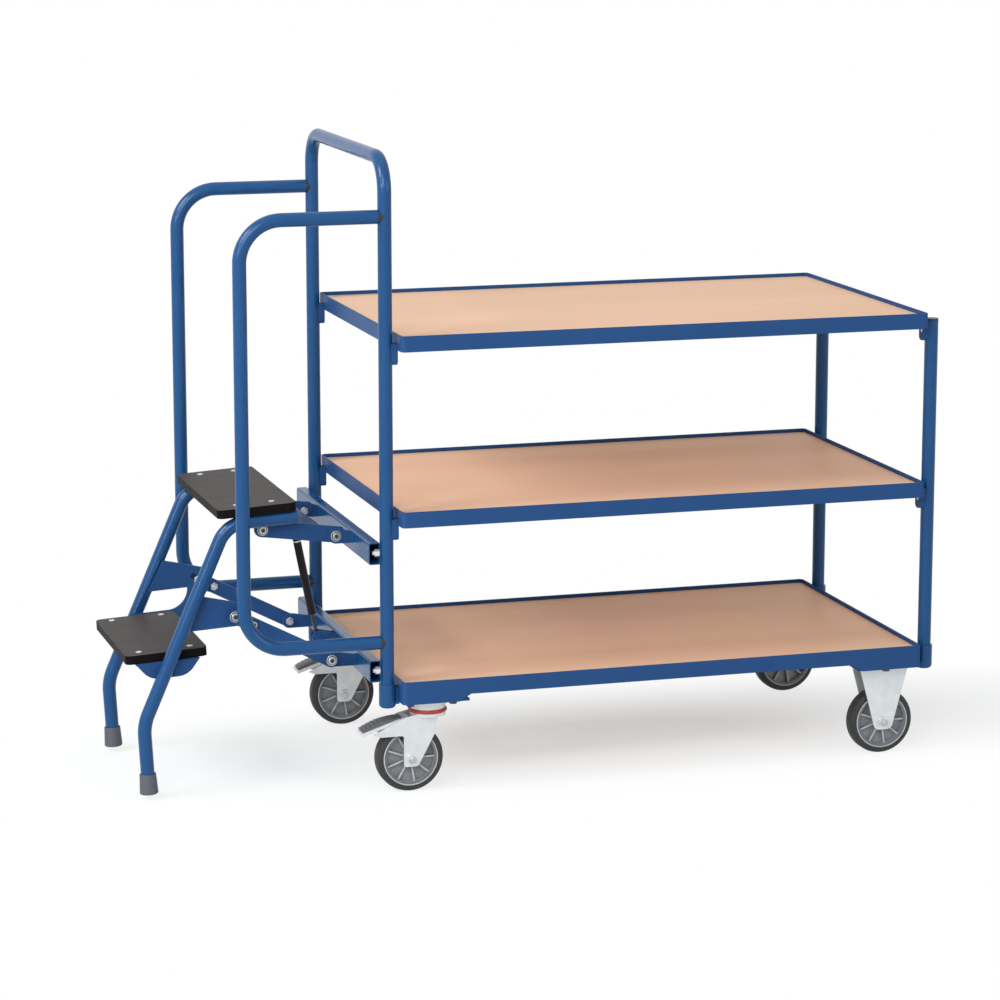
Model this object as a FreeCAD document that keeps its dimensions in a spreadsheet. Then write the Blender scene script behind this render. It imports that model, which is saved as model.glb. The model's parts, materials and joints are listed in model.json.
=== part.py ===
import FreeCAD, Part
import math
import operator
import os
import types

import Sketcher

# Order picking trolley: three-shelf tube frame on casters, with a spring-lifted two-step stair at its left.
# Millimetres. +X runs along the shelves away from the stair, +Y to the far side, +Z up from the floor.
# The pieces are placed about the middle of the shelves, then moved so that the origin is under the middle.

SIZES = (
    # Shelves
    ("board_length", 1000.0, "shelf board along X"),
    ("board_width", 600.0, "shelf board along Y"),
    ("board_thickness", 19.0, "shelf board"),
    ("board_clearance", 0.3, "gap between board edge and rim"),
    ("rim_wall", 3.0, "angle steel of the shelf frames"),
    ("rim_lip", 7.0, "rim above the board"),
    ("ledge_width", 27.0, "flat leg that carries the board"),
    ("ledge_thickness", 3.0, "flat leg of the angle steel"),
    ("shelf_corner_radius", 9.0, "outside corner of the rim"),
    ("top_rim_height", 841.5, "floor to rim of the top shelf"),
    ("middle_rim_height", 525.2, "floor to rim of the middle shelf"),
    ("lower_rim_height", 214.0, "floor to rim of the lower shelf"),
    ("skirt_depth", 42.0, "rim to lower edge of the corner skirts"),
    ("swivel_skirt_length", 105.0, "skirt along X over a swivel caster"),
    ("fixed_skirt_length", 118.0, "skirt along X over a fixed caster"),
    ("end_skirt_length", 110.0, "skirt along Y at both ends"),
    ("skirt_slope", 22.0, "run of the slanted end of a skirt"),
    ("gusset_length", 122.0, "caster gusset along X"),
    ("gusset_width", 104.0, "caster gusset along Y"),
    ("gusset_thickness", 4.0, "caster gusset"),
    # Uprights, handle and sockets
    ("tube_diameter", 25.0, "all frame tubes"),
    ("tube_wall", 2.0, "all frame tubes"),
    ("upright_gap", 20.3, "shelf end face to upright axis"),
    ("upright_inset", 35.5, "shelf side face to upright axis"),
    ("handle_height", 1151.0, "floor to axis of the handle bar"),
    ("handle_bend_radius", 58.0, "handle corners, at the tube axis"),
    ("right_upright_drop", 17.5, "rim of the top shelf to upper end of the right uprights"),
    ("plug_head", 3.0, "rim of the black end plugs"),
    ("plug_depth", 9.0, "plug inside the tube"),
    ("socket_diameter", 31.0, "bottom sockets of the uprights"),
    ("socket_bottom", 162.0, "floor to socket"),
    ("socket_height", 45.0, "bottom sockets"),
    ("socket_floor", 5.0, "closed end of a socket"),
    ("socket_round", 7.0, "rounded lower rim of a socket"),
    ("socket_tab_width", 16.0, "tab between socket and shelf"),
    ("seat_clearance", 0.1, "radial gap of seated pieces"),
    # Fasteners
    ("bolt_diameter", 8.0, "frame bolts"),
    ("bolt_clearance", 0.2, "radial gap of bolt holes"),
    ("bolt_head_diameter", 14.0, "frame bolts"),
    ("bolt_head_height", 5.0, "frame bolts"),
    # Shelf hooks
    ("hook_drop", 17.0, "rim of a shelf to upper end of its hooks"),
    ("hook_height", 38.0, "hook brackets"),
    ("hook_width", 22.0, "hook brackets"),
    ("hook_wrap", 5.0, "reach of a hook around its upright"),
    # Guard rails
    ("rail_reach", 261.7, "upright axis to vertical run"),
    ("rail_top_drop", 101.0, "handle bar to upper run, axis to axis"),
    ("rail_bottom", 283.0, "floor to axis of the lower run"),
    ("rail_bend_radius", 75.0, "guard rail corners, at the tube axis"),
    ("saddle_length", 1.0, "upright to rail end"),
    ("saddle_diameter", 23.0, "black saddles"),
    ("saddle_wrap", 11.0, "reach of a saddle around its upright"),
    ("rail_bolt_grip", 18.0, "rail bolt inside the rail"),
    # Cross tubes
    ("cross_depth", 22.0, "cross tube along X"),
    ("cross_height", 40.0, "cross tube along Z"),
    ("cross_wall", 2.0, "cross tube wall"),
    ("cross_corner", 4.0, "outside corners of the cross tubes"),
    ("cross_past", 6.5, "cross tubes beyond the upright axes"),
    ("upper_cross_bottom", 427.5, "floor to upper cross tube"),
    ("lower_cross_bottom", 211.5, "floor to lower cross tube"),
    ("cross_nut_height", 8.0, "nuts inside the cross tubes"),
    ("cross_bolt_end", 4.0, "cross tube bolt beyond its nut"),
    # Step linkage
    ("pivot_diameter", 10.0, "pivot bolts of the arms"),
    ("pivot_clearance", 0.06, "running gap of the pivot bolts"),
    ("open_pivot_clearance", 0.7, "gap of the pivots that close the linkage"),
    ("pivot_head_diameter", 20.0, "pivot bolt heads"),
    ("pivot_head_height", 4.0, "pivot bolt heads and nuts"),
    ("pivot_nut_diameter", 15.0, "pivot bolt nuts"),
    ("pivot_gap", 0.6, "side gap between plates that turn on each other"),
    ("ear_thickness", 5.0, "clevis ears"),
    ("ear_radius", 14.0, "clevis ears around their pivot"),
    ("lift_pivot_out", 64.7, "upright axis to upper arm pivot"),
    ("lift_pivot_height", 459.0, "floor to upper arm pivot"),
    ("upper_arm_length", 136.2, "between the upper arm pivots"),
    ("upper_arm_angle", 7.6, "upper arm above level with the steps raised"),
    ("upper_arm_near", 151.0, "middle plane to near face of the upper arm"),
    ("upper_arm_far", 95.0, "middle plane to far face of the upper arm"),
    ("upper_arm_wall", 5.0, "upper arm sheet"),
    ("upper_arm_above", 17.0, "upper arm above its pivots"),
    ("upper_arm_below", 13.0, "upper arm below its pivots"),
    ("upper_arm_end", 14.5, "upper arm beyond its pivots"),
    ("upper_arm_web", 4.0, "sheet that joins the two sides"),
    ("web_from_lift", 34.0, "upper arm pivot to web"),
    ("web_from_step", 23.0, "step pivot to web"),
    ("lug_thickness", 4.0, "lugs for the upper gas spring pin"),
    ("lower_pivot_out", 78.7, "upright axis to lower arm pivot"),
    ("lower_pivot_height", 232.0, "floor to lower arm pivot"),
    ("lower_arm_length", 200.8, "between the lower arm pivots"),
    ("lower_arm_angle", 27.6, "lower arm above level with the steps raised"),
    ("lower_arm_inner", 165.0, "middle plane to inner face of a lower arm"),
    ("lower_arm_thickness", 6.0, "lower arm bar"),
    ("lower_arm_width", 26.0, "lower arm bar"),
    ("lower_rivet_place", 163.0, "lower arm pivot to the rivet of the arm"),
    # Gas spring
    ("gas_foot_out", 64.7, "upright axis to lower pin"),
    ("gas_foot_height", 238.0, "floor to lower pin"),
    ("gas_eye_along", 45.8, "upper arm pivot to upper pin, along the arm"),
    ("gas_eye_above", 3.0, "upper pin above the line of the arm pivots"),
    ("gas_pin_diameter", 8.0, "pins of the gas spring"),
    ("gas_eye_diameter", 16.0, "eyes of the gas spring"),
    ("gas_eye_width", 12.0, "eyes of the gas spring"),
    ("gas_body_diameter", 15.0, "cylinder"),
    ("gas_rod_diameter", 7.0, "piston rod"),
    ("gas_rod_shown", 43.5, "lower pin to mouth of the cylinder"),
    ("gas_rod_inside", 60.0, "rod inside the cylinder"),
    ("gas_stroke_room", 16.0, "bore beyond the rod"),
    ("gas_rod_clearance", 0.05, "running gap of the rod"),
    ("foot_ear_thickness", 4.0, "ears of the gas spring foot"),
    ("pin_head_diameter", 13.0, "heads of the lower gas spring pin"),
    ("pin_head_height", 3.0, "heads of the lower gas spring pin"),
    # Steps, measured level from the step pivot
    ("step_tilt", 3.2, "lean of the raised steps"),
    ("step_leg_plane", 173.0, "middle plane to leg axis"),
    ("leg_run_height", 23.2, "leg top run above the step pivot"),
    ("leg_run_right", 60.2, "open end of the leg right of the step pivot"),
    ("leg_run_left", 70.0, "upper leg corner left of the step pivot"),
    ("leg_foot_left", 246.3, "leg foot left of the step pivot"),
    ("leg_knee_drop", 326.0, "lower leg corner below the step pivot"),
    ("leg_foot_drop", 453.6, "foot caps below the step pivot"),
    ("leg_upper_bend", 55.0, "upper leg corner, at the tube axis"),
    ("leg_lower_bend", 90.0, "lower leg corner, at the tube axis"),
    ("foot_cap_height", 37.0, "rubber foot caps"),
    ("foot_cap_top", 30.0, "foot cap at its upper rim"),
    ("foot_cap_bottom", 34.0, "foot cap at the floor"),
    ("foot_cap_floor", 8.0, "rubber under the tube"),
    ("step_board_thickness", 16.0, "both step boards"),
    ("step_board_corner", 12.0, "corner radius of the step boards"),
    ("top_step_left", 85.8, "top board left of the step pivot"),
    ("top_step_right", 59.0, "top board right of the step pivot"),
    ("top_step_half", 185.0, "half width of the top board"),
    ("low_step_left", 266.0, "low board left of the step pivot"),
    ("low_step_right", 116.5, "low board right edge, left of the step pivot"),
    ("low_step_half", 153.0, "half width of the low board"),
    ("low_step_drop", 202.0, "low board surface below the step pivot"),
    ("top_screw_inset", 40.0, "top board screws from its left and right edges"),
    ("top_screw_side", 30.0, "top board screws from its near and far edges"),
    ("low_screw_inset", 28.0, "low board screws from its left and right edges"),
    ("low_screw_side", 22.0, "low board screws from its near and far edges"),
    ("step_screw_diameter", 6.0, "step board screws"),
    ("step_screw_head", 11.0, "step board screws"),
    ("step_screw_rise", 1.2, "screw heads above the boards"),
    ("bracket_sheet", 3.0, "sheet under both boards"),
    ("bracket_left", 60.0, "top bracket left of the step pivot"),
    ("bracket_right", 45.0, "top bracket right of the step pivot"),
    ("cheek_thickness", 5.0, "cheek plates"),
    ("cheek_lobe", 20.0, "cheek plate around the lower arm pivot"),
    ("cheek_lobe_round", 16.0, "corners of that lobe"),
    ("cheek_rise", 44.0, "cheek plate above the pivot, behind the leg"),
    ("cheek_neck", 24.0, "cheek plate behind the leg"),
    ("cheek_neck_shift", 6.0, "neck toward the leg top, from the leg axis"),
    ("cheek_depth", 30.0, "cheek plate below the low board"),
    ("cheek_foot_run", 24.0, "slanted ends of the cheek plate below the board"),
    ("cheek_foot_inset", 16.0, "ends of the cheek plate from the board edges"),
    ("cheek_foot_round", 36.0, "lower corners of the cheek plate"),
    ("cheek_far_floor", 12.5, "far cheek plate below the pivot, beside the leg"),
    ("cheek_bow", 40.0, "hollow edge of the far cheek plate"),
    ("cheek_bow_right", 20.5, "hollow edge left of the lower arm pivot"),
    ("slot_length", 14.0, "slot above the far lower arm pivot"),
    ("slot_lean", 45.0, "slot from upright, toward the leg"),
    # Casters
    ("wheel_diameter", 125.0, "all wheels"),
    ("tyre_width", 32.0, "tyre"),
    ("tyre_round", 9.0, "tyre shoulders"),
    ("rim_diameter", 100.0, "wheel centre"),
    ("rim_width", 30.0, "wheel centre at its rim"),
    ("rim_band", 5.0, "wheel centre rim"),
    ("hub_diameter", 30.0, "wheel hub"),
    ("wheel_web", 6.0, "disc between hub and rim"),
    ("spoke_count", 9.0, "ribs of a wheel centre"),
    ("spoke_thickness", 3.0, "ribs of a wheel centre"),
    ("spoke_width", 22.0, "ribs along the axle"),
    ("axle_diameter", 12.0, "wheel axles"),
    ("axle_clearance", 0.06, "running gap of the wheels"),
    ("axle_head_diameter", 19.0, "axle bolt heads and nuts"),
    ("axle_head_height", 6.0, "axle bolt heads and nuts"),
    ("fork_gap", 39.0, "between the fork sides"),
    ("fork_wall", 3.0, "fork sides"),
    ("hub_side_gap", 0.5, "hub to fork"),
    ("caster_inset", 55.5, "shelf side face to wheel plane"),
    ("fixed_axle_inset", 60.5, "shelf end face to fixed axle"),
    ("swivel_inset", 60.0, "shelf end face to swivel axis"),
    ("swivel_trail", 36.0, "swivel axis to swivel axle"),
    ("caster_plate_length", 100.0, "caster plates along X"),
    ("caster_plate_width", 85.0, "caster plates along Y"),
    ("caster_plate_thickness", 3.5, "caster plates"),
    ("plate_bolt_along", 80.0, "plate bolts along X"),
    ("plate_bolt_across", 60.0, "plate bolts along Y"),
    ("race_diameter", 66.0, "fixed half of the swivel bearing"),
    ("race_height", 22.0, "plate to lower end of the race"),
    ("king_pin_diameter", 12.0, "swivel pin"),
    ("king_nut_diameter", 20.0, "head under the fork crown"),
    ("king_nut_height", 6.0, "head under the fork crown"),
    ("seal_diameter", 71.0, "red seal ring"),
    ("seal_height", 11.0, "red seal ring"),
    ("seal_lift", 0.6, "seal above the end of the race"),
    ("crown_gap", 0.5, "race to fork crown"),
    ("crown_thickness", 6.0, "fork crown"),
    ("pedal_width", 37.5, "brake pedal"),
    ("pedal_thickness", 6.0, "brake pedal"),
    ("pedal_pin_diameter", 6.0, "pivot of the brake pedal"),
    ("pedal_out", 8.0, "axle to pedal pivot, toward the tip"),
    ("pedal_up", 68.0, "axle to pedal pivot, upward"),
    ("pedal_reach", 84.0, "pedal pivot to pedal tip"),
    ("fixed_fork_top", 97.0, "fixed fork sides at the plate"),
    ("fixed_fork_end", 33.0, "fixed fork sides at the axle"),
)

doc = FreeCAD.newDocument("order_picking_trolley")
sheet = doc.addObject("Spreadsheet::Sheet", "sizes")
nodes = []
UP = FreeCAD.Vector(0, 0, 1)
Y_AXIS = FreeCAD.Vector(0, 1, 0)
NEAR_FAR = (("near", -1), ("far", 1))
OPERATIONS = {"+": operator.add, "-": operator.sub, "*": operator.mul, "/": operator.truediv}


class Size:
    """A length that holds its value and the sheet formula that gives it."""

    def __init__(self, value, formula):
        self.value = float(value)
        self.formula = formula

    def __float__(self):
        return self.value

    def __neg__(self):
        return combine(0, "-", self)

    def __add__(self, other):
        return combine(self, "+", other)

    def __radd__(self, other):
        return combine(other, "+", self)

    def __sub__(self, other):
        return combine(self, "-", other)

    def __rsub__(self, other):
        return combine(other, "-", self)

    def __mul__(self, other):
        return combine(self, "*", other)

    def __rmul__(self, other):
        return combine(other, "*", self)

    def __truediv__(self, other):
        return combine(self, "/", other)


def as_size(value):
    """Plain numbers become sizes, sizes stay as they are."""
    return value if isinstance(value, Size) else Size(value, repr(float(value)))


def combine(left, sign, right):
    """Join two sizes in value and in formula."""
    left, right = as_size(left), as_size(right)
    return Size(OPERATIONS[sign](left.value, right.value), "(%s %s %s)" % (left.formula, sign, right.formula))


def cosine(angle):
    """Cosine of an angle in degrees."""
    return Size(math.cos(math.radians(angle.value)), "cos(%s)" % angle.formula)


def sine(angle):
    """Sine of an angle in degrees."""
    return Size(math.sin(math.radians(angle.value)), "sin(%s)" % angle.formula)


def fill_sheet():
    """Write each driving size to its own row and return them by name."""
    table = types.SimpleNamespace()
    for row, (name, value, note) in enumerate(SIZES, start=1):
        sheet.set("A%d" % row, name)
        sheet.set("B%d" % row, str(value))
        sheet.set("C%d" % row, note)
        sheet.setAlias("B%d" % row, name)
        setattr(table, name, Size(value, "sizes." + name))
    doc.recompute()
    return table


s = fill_sheet()


# Drawing helpers

def bind(feature, name, size):
    """Tie one property of a feature to the sheet."""
    feature.setExpression(name, as_size(size).formula)


def constrain(sketch, size, kind, *places):
    """Add one dimension to a sketch and tie it to the sheet."""
    index = sketch.addConstraint(Sketcher.Constraint(kind, *places, float(size)))
    bind(sketch, "Constraints[%d]" % index, size)


def pin_point(sketch, geometry, point, across, along):
    """Fix a point of a sketch by its distances from the origin."""
    constrain(sketch, across, "DistanceX", -1, 1, geometry, point)
    constrain(sketch, along, "DistanceY", -1, 1, geometry, point)


def corner_arc(before, corner, after, radius):
    """Tangent arc at a corner: its start on the first run, its end on the second, the arc and its turn."""
    arrive = (corner - before).normalize()
    leave = (after - corner).normalize()
    reach = radius * math.tan(arrive.getAngle(leave) / 2)
    start, finish = corner - arrive * reach, corner + leave * reach
    left_turn = arrive.cross(leave).z > 0
    centre = start + FreeCAD.Vector(-arrive.y, arrive.x, 0) * (radius if left_turn else -radius)
    first, last = (start, finish) if left_turn else (finish, start)
    angles = [math.atan2(end.y - centre.y, end.x - centre.x) for end in (first, last)]
    arc = Part.ArcOfCircle(Part.Circle(centre, UP, radius), *angles)
    return start, finish, arc, left_turn


def trace(sketch, corners, closed=True):
    """Draw straight runs through the corners (across, along, radius), rounded where the radius isn't 0."""
    points = [FreeCAD.Vector(float(across), float(along), 0) for across, along, _ in corners]
    count = len(points)
    rounds = {}
    for index, corner in enumerate(corners):
        if float(corner[2]) > 0:
            ahead = points[(index + 1) % count]
            rounds[index] = corner_arc(points[index - 1], points[index], ahead, float(corner[2]))
    runs = {}
    arcs = {}
    for index in range(count if closed else count - 1):
        ahead = (index + 1) % count
        start = rounds[index][1] if index in rounds else points[index]
        finish = rounds[ahead][0] if ahead in rounds else points[ahead]
        runs[index] = sketch.addGeometry(Part.LineSegment(start, finish), False)
        if ahead in rounds:
            arcs[ahead] = sketch.addGeometry(rounds[ahead][2], False)
    for index, (across, along, radius) in enumerate(corners):
        into, out = runs.get((index - 1) % count), runs.get(index)
        if index in rounds:
            mark = sketch.addGeometry(Part.Point(points[index]), True)
            pin_point(sketch, mark, 1, across, along)
            sketch.addConstraint(Sketcher.Constraint("PointOnObject", mark, 1, into))
            sketch.addConstraint(Sketcher.Constraint("PointOnObject", mark, 1, out))
            entry, leaving = (1, 2) if rounds[index][3] else (2, 1)
            sketch.addConstraint(Sketcher.Constraint("Tangent", into, 2, arcs[index], entry))
            sketch.addConstraint(Sketcher.Constraint("Tangent", arcs[index], leaving, out, 1))
            constrain(sketch, radius, "Radius", arcs[index])
        elif out is None:
            pin_point(sketch, into, 2, across, along)
        else:
            pin_point(sketch, out, 1, across, along)
            if into is not None:
                sketch.addConstraint(Sketcher.Constraint("Coincident", into, 2, out, 1))


def ring(sketch, across, along, radius):
    """Draw a circle."""
    circle = Part.Circle(FreeCAD.Vector(float(across), float(along), 0), UP, float(radius))
    geometry = sketch.addGeometry(circle, False)
    pin_point(sketch, geometry, 3, across, along)
    constrain(sketch, radius, "Radius", geometry)


def box_outline(sketch, left, right, bottom, top, radius=0):
    """Draw a rectangle, with rounded corners if a radius is given."""
    trace(sketch, [(left, bottom, radius), (right, bottom, radius), (right, top, radius), (left, top, radius)])


def new_body(name):
    """Start an empty piece."""
    body = doc.addObject("PartDesign::Body", name)
    body.Label = name
    return body


def new_sketch(body, plane_role, lift=0):
    """Start a sketch on one of the body's own planes, lifted along the plane's normal."""
    sketch = body.newObject("Sketcher::SketchObject", body.Name + "_sketch")
    plane = [feature for feature in body.Origin.OriginFeatures if feature.Role == plane_role][0]
    sketch.AttachmentSupport = [(plane, "")]
    sketch.MapMode = "FlatFace"
    bind(sketch, "AttachmentOffset.Base.z", lift)
    return sketch


def extrude(body, sketch, length, symmetric=False, reverse=False, cut=False):
    """Pad a sketch, or pocket it out of the body."""
    kind = "Pocket" if cut else "Pad"
    feature = body.newObject("PartDesign::" + kind, body.Name + "_" + kind.lower())
    feature.Profile = sketch
    feature.SideType = "Symmetric" if symmetric else "One side"
    feature.Reversed = reverse
    bind(feature, "Length", length)
    return feature


def revolve(body, sketch):
    """Turn a sketch around its upright axis."""
    feature = body.newObject("PartDesign::Revolution", body.Name + "_revolution")
    feature.Profile = sketch
    feature.ReferenceAxis = (sketch, ["V_Axis"])
    feature.Angle = 360
    return feature


def bent_tube(body, path_plane, section_plane, corners):
    """Sweep the frame tube along a bent path that starts at the body's origin."""
    path = new_sketch(body, path_plane)
    trace(path, corners, closed=False)
    section = new_sketch(body, section_plane)
    ring(section, 0, 0, tube_radius)
    ring(section, 0, 0, tube_radius - s.tube_wall)
    feature = body.newObject("PartDesign::AdditivePipe", body.Name + "_pipe")
    feature.Profile = section
    edge_count = 2 * len(corners) - 3
    feature.Spine = (path, ["Edge%d" % (index + 1) for index in range(edge_count)])
    return feature


def stack(name, layers, placement):
    """One turned piece of coaxial layers (radius, height), each on top of the one before."""
    pieces = []
    base = Size(0, "0")
    for radius, height in layers:
        layer = doc.addObject("Part::Cylinder", name + "_layer")
        bind(layer, "Radius", radius)
        bind(layer, "Height", height)
        if pieces:
            bind(layer, "Placement.Base.z", base)
        pieces.append(layer)
        base = base + height
    if len(pieces) == 1:
        pieces[0].Placement = placement
        return pieces[0]
    turned = doc.addObject("Part::MultiFuse", name + "_turned")
    turned.Shapes = pieces
    turned.Placement = placement
    return turned


def place(x, y, z, rotation=FreeCAD.Rotation()):
    """Placement from sizes or numbers."""
    return FreeCAD.Placement(FreeCAD.Vector(float(x), float(y), float(z)), rotation)


def pointing(x, y, z):
    """Rotation that turns the local Z axis into a direction."""
    return FreeCAD.Rotation(UP, FreeCAD.Vector(x, y, z))


def finish(name, piece):
    """Name a finished sub-part."""
    piece.Label = name
    nodes.append(piece)


def group(name, pieces):
    """Gather identical loose pieces under one name."""
    compound = doc.addObject("Part::Compound", name)
    compound.Links = pieces
    finish(name, compound)


# Places that several pieces share, about the middle of the shelves

tube_radius = s.tube_diameter / 2
shelf_end = s.board_length / 2 + s.rim_wall
shelf_side = s.board_width / 2 + s.rim_wall
rail_height = s.rim_lip + s.board_thickness + s.ledge_thickness
upright_x = shelf_end + s.upright_gap
upright_y = shelf_side - s.upright_inset
upright_foot = s.socket_bottom + s.socket_floor
bolt_radius = s.bolt_diameter / 2
bolt_hole = bolt_radius + s.bolt_clearance
head_radius = s.bolt_head_diameter / 2
hook_shelves = (s.top_rim_height, s.middle_rim_height)
right_upright_top = s.top_rim_height - s.right_upright_drop
rail_top = s.handle_height - s.rail_top_drop
cross_floors = (s.upper_cross_bottom, s.lower_cross_bottom)
cross_back = -upright_x - tube_radius - s.seat_clearance
cross_front = cross_back - s.cross_depth
pivot_radius = s.pivot_diameter / 2
pivot_hole = pivot_radius + s.pivot_clearance
pivot_head = s.pivot_head_diameter / 2
pivot_nut = s.pivot_nut_diameter / 2
pivot_play = s.pivot_gap / 2
lift_x = -upright_x - s.lift_pivot_out
step_x = lift_x - s.upper_arm_length * cosine(s.upper_arm_angle)
step_z = s.lift_pivot_height + s.upper_arm_length * sine(s.upper_arm_angle)
lower_x = -upright_x - s.lower_pivot_out
elbow_x = lower_x - s.lower_arm_length * cosine(s.lower_arm_angle)
elbow_z = s.lower_pivot_height + s.lower_arm_length * sine(s.lower_arm_angle)
upper_arm_sides = ((-1, s.upper_arm_near), (1, s.upper_arm_far))
upper_ear_offset = s.pivot_gap + s.ear_thickness
upper_ear_inset = s.upper_arm_wall + s.pivot_gap
lower_ear_outer = s.lower_arm_inner - s.pivot_gap
gas_pin_radius = s.gas_pin_diameter / 2
gas_foot_x = -upright_x - s.gas_foot_out
gas_eye_x = lift_x - s.gas_eye_along * cosine(s.upper_arm_angle) + s.gas_eye_above * sine(s.upper_arm_angle)
gas_eye_z = (s.lift_pivot_height + s.gas_eye_along * sine(s.upper_arm_angle)
             + s.gas_eye_above * cosine(s.upper_arm_angle))
step_elbow_u = (elbow_x - step_x) * cosine(s.step_tilt) + (elbow_z - step_z) * sine(s.step_tilt)
step_elbow_v = (elbow_z - step_z) * cosine(s.step_tilt) - (elbow_x - step_x) * sine(s.step_tilt)
mount_height = s.lower_rim_height - s.skirt_depth
wheel_radius = s.wheel_diameter / 2
wheel_y = shelf_side - s.caster_inset
fixed_x = shelf_end - s.fixed_axle_inset
swivel_x = -shelf_end + s.swivel_inset
swivel_axle_x = swivel_x - s.swivel_trail
axle_radius = s.axle_diameter / 2
fork_inner = s.fork_gap / 2
fork_outer = fork_inner + s.fork_wall
plate_underside = mount_height - s.caster_plate_thickness
step_lean = FreeCAD.Rotation(Y_AXIS, -s.step_tilt.value)


def on_step(u, y, v):
    """Placement on the leaning step unit, measured level from the step pivot."""
    offset = step_lean.multVec(FreeCAD.Vector(float(u), 0, float(v)))
    return place(step_x.value + offset.x, y, step_z.value + offset.z, step_lean)


# Shelves

def angle_frame(name, height, rim):
    """Mitred angle-steel frame: an upright rim and the ledge that carries the board."""
    body = new_body(name)
    inner_radius = s.shelf_corner_radius - s.rim_wall
    wall = new_sketch(body, "XY_Plane", -height)
    box_outline(wall, -shelf_end, shelf_end, -shelf_side, shelf_side, s.shelf_corner_radius)
    half_length, half_width = s.board_length / 2, s.board_width / 2
    box_outline(wall, -half_length, half_length, -half_width, half_width, inner_radius)
    extrude(body, wall, height)
    ledge = new_sketch(body, "XY_Plane", -rail_height)
    box_outline(ledge, -half_length, half_length, -half_width, half_width, inner_radius)
    opening_length, opening_width = half_length - s.ledge_width, half_width - s.ledge_width
    box_outline(ledge, -opening_length, opening_length, -opening_width, opening_width)
    extrude(body, ledge, s.ledge_thickness)
    body.Placement = place(0, 0, rim)
    finish(name, body)
    return body


def cut_between_skirts(body, plane, left, right):
    """Cut the rim back to the height of the rails between two corner skirts."""
    gap = new_sketch(body, plane)
    trace(gap, [
        (left + s.skirt_slope, -rail_height, 0),
        (left, -s.skirt_depth, 0),
        (left, -s.skirt_depth - s.rim_wall, 0),
        (right, -s.skirt_depth - s.rim_wall, 0),
        (right, -s.skirt_depth, 0),
        (right - s.skirt_slope, -rail_height, 0),
    ])
    extrude(body, gap, 2 * s.board_length + 2 * s.board_width, symmetric=True, cut=True)


def caster_places():
    """Middle of each caster plate with the pattern of its bolts."""
    along, across = s.plate_bolt_along / 2, s.plate_bolt_across / 2
    square = [(-along, -across), (along, -across), (along, across), (-along, across)]
    pair = [(0, -across), (0, across)]
    return [(middle_x, side, pattern) for middle_x, pattern in ((swivel_x, square), (fixed_x, pair))
            for _, side in NEAR_FAR]


def lower_frame():
    """Lowest shelf frame, with corner skirts and the gussets that the casters bolt to."""
    body = angle_frame("lower_shelf_frame", s.skirt_depth, s.lower_rim_height)
    cut_between_skirts(body, "XZ_Plane", -shelf_end + s.swivel_skirt_length, shelf_end - s.fixed_skirt_length)
    cut_between_skirts(body, "YZ_Plane", -shelf_side + s.end_skirt_length, shelf_side - s.end_skirt_length)
    for middle_x, side, pattern in caster_places():
        gusset = new_sketch(body, "XY_Plane", -s.skirt_depth)
        end, edge = math.copysign(1, middle_x.value), side * s.board_width / 2
        near_end, far_end = end * s.board_length / 2, end * (s.board_length / 2 - s.gusset_length)
        inner_edge = side * (s.board_width / 2 - s.gusset_width)
        cut_corner = s.shelf_corner_radius
        trace(gusset, [
            (far_end, edge, 0),
            (near_end - end * cut_corner, edge, 0),
            (near_end, edge - side * cut_corner, 0),
            (near_end, inner_edge, 0),
            (far_end, inner_edge, 0),
        ])
        for along, across in pattern:
            ring(gusset, middle_x + along, side * wheel_y + across, bolt_hole)
        extrude(body, gusset, s.gusset_thickness)


def shelf_board(name, rim):
    """Beech board that lies on the ledge of its frame."""
    body = new_body(name)
    outline = new_sketch(body, "XY_Plane", -s.rim_lip - s.board_thickness)
    half_length = s.board_length / 2 - s.board_clearance
    half_width = s.board_width / 2 - s.board_clearance
    box_outline(outline, -half_length, half_length, -half_width, half_width, s.shelf_corner_radius - s.rim_wall)
    extrude(body, outline, s.board_thickness)
    body.Placement = place(0, 0, rim)
    finish(name, body)


def shelves():
    """Three frames and three boards."""
    angle_frame("top_shelf_frame", rail_height, s.top_rim_height)
    angle_frame("middle_shelf_frame", rail_height, s.middle_rim_height)
    lower_frame()
    shelf_board("top_shelf_board", s.top_rim_height)
    shelf_board("middle_shelf_board", s.middle_rim_height)
    shelf_board("lower_shelf_board", s.lower_rim_height)


# Uprights and handle

def hook_bolt_height(rim):
    """Bolt through the middle of a hook bracket."""
    return rim - s.hook_drop - s.hook_height / 2


def upright_holes(body, across, shelf_heights, outer_heights):
    """Bolt holes in one wall of an upright: toward the shelf, and toward the stair."""
    for heights, toward_stair in ((shelf_heights, False), (outer_heights, True)):
        holes = new_sketch(body, "YZ_Plane")
        for height in heights:
            for y in across:
                ring(holes, y, height - upright_foot, bolt_hole)
        extrude(body, holes, s.tube_diameter, reverse=not toward_stair, cut=True)


def wall_bolt(name, x, y, z, outward, reach, cap=()):
    """Bolt from a nut inside an upright, out through its wall to a distance from the upright axis."""
    bore = tube_radius.value - s.tube_wall.value
    nut_face = math.sqrt(bore ** 2 - head_radius.value ** 2) - s.seat_clearance.value
    start = float(x) + outward * (nut_face - s.bolt_head_height.value)
    layers = [(head_radius, s.bolt_head_height), (bolt_radius, reach - nut_face), *cap]
    return stack(name, layers, place(start, y, z, pointing(outward, 0, 0)))


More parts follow.
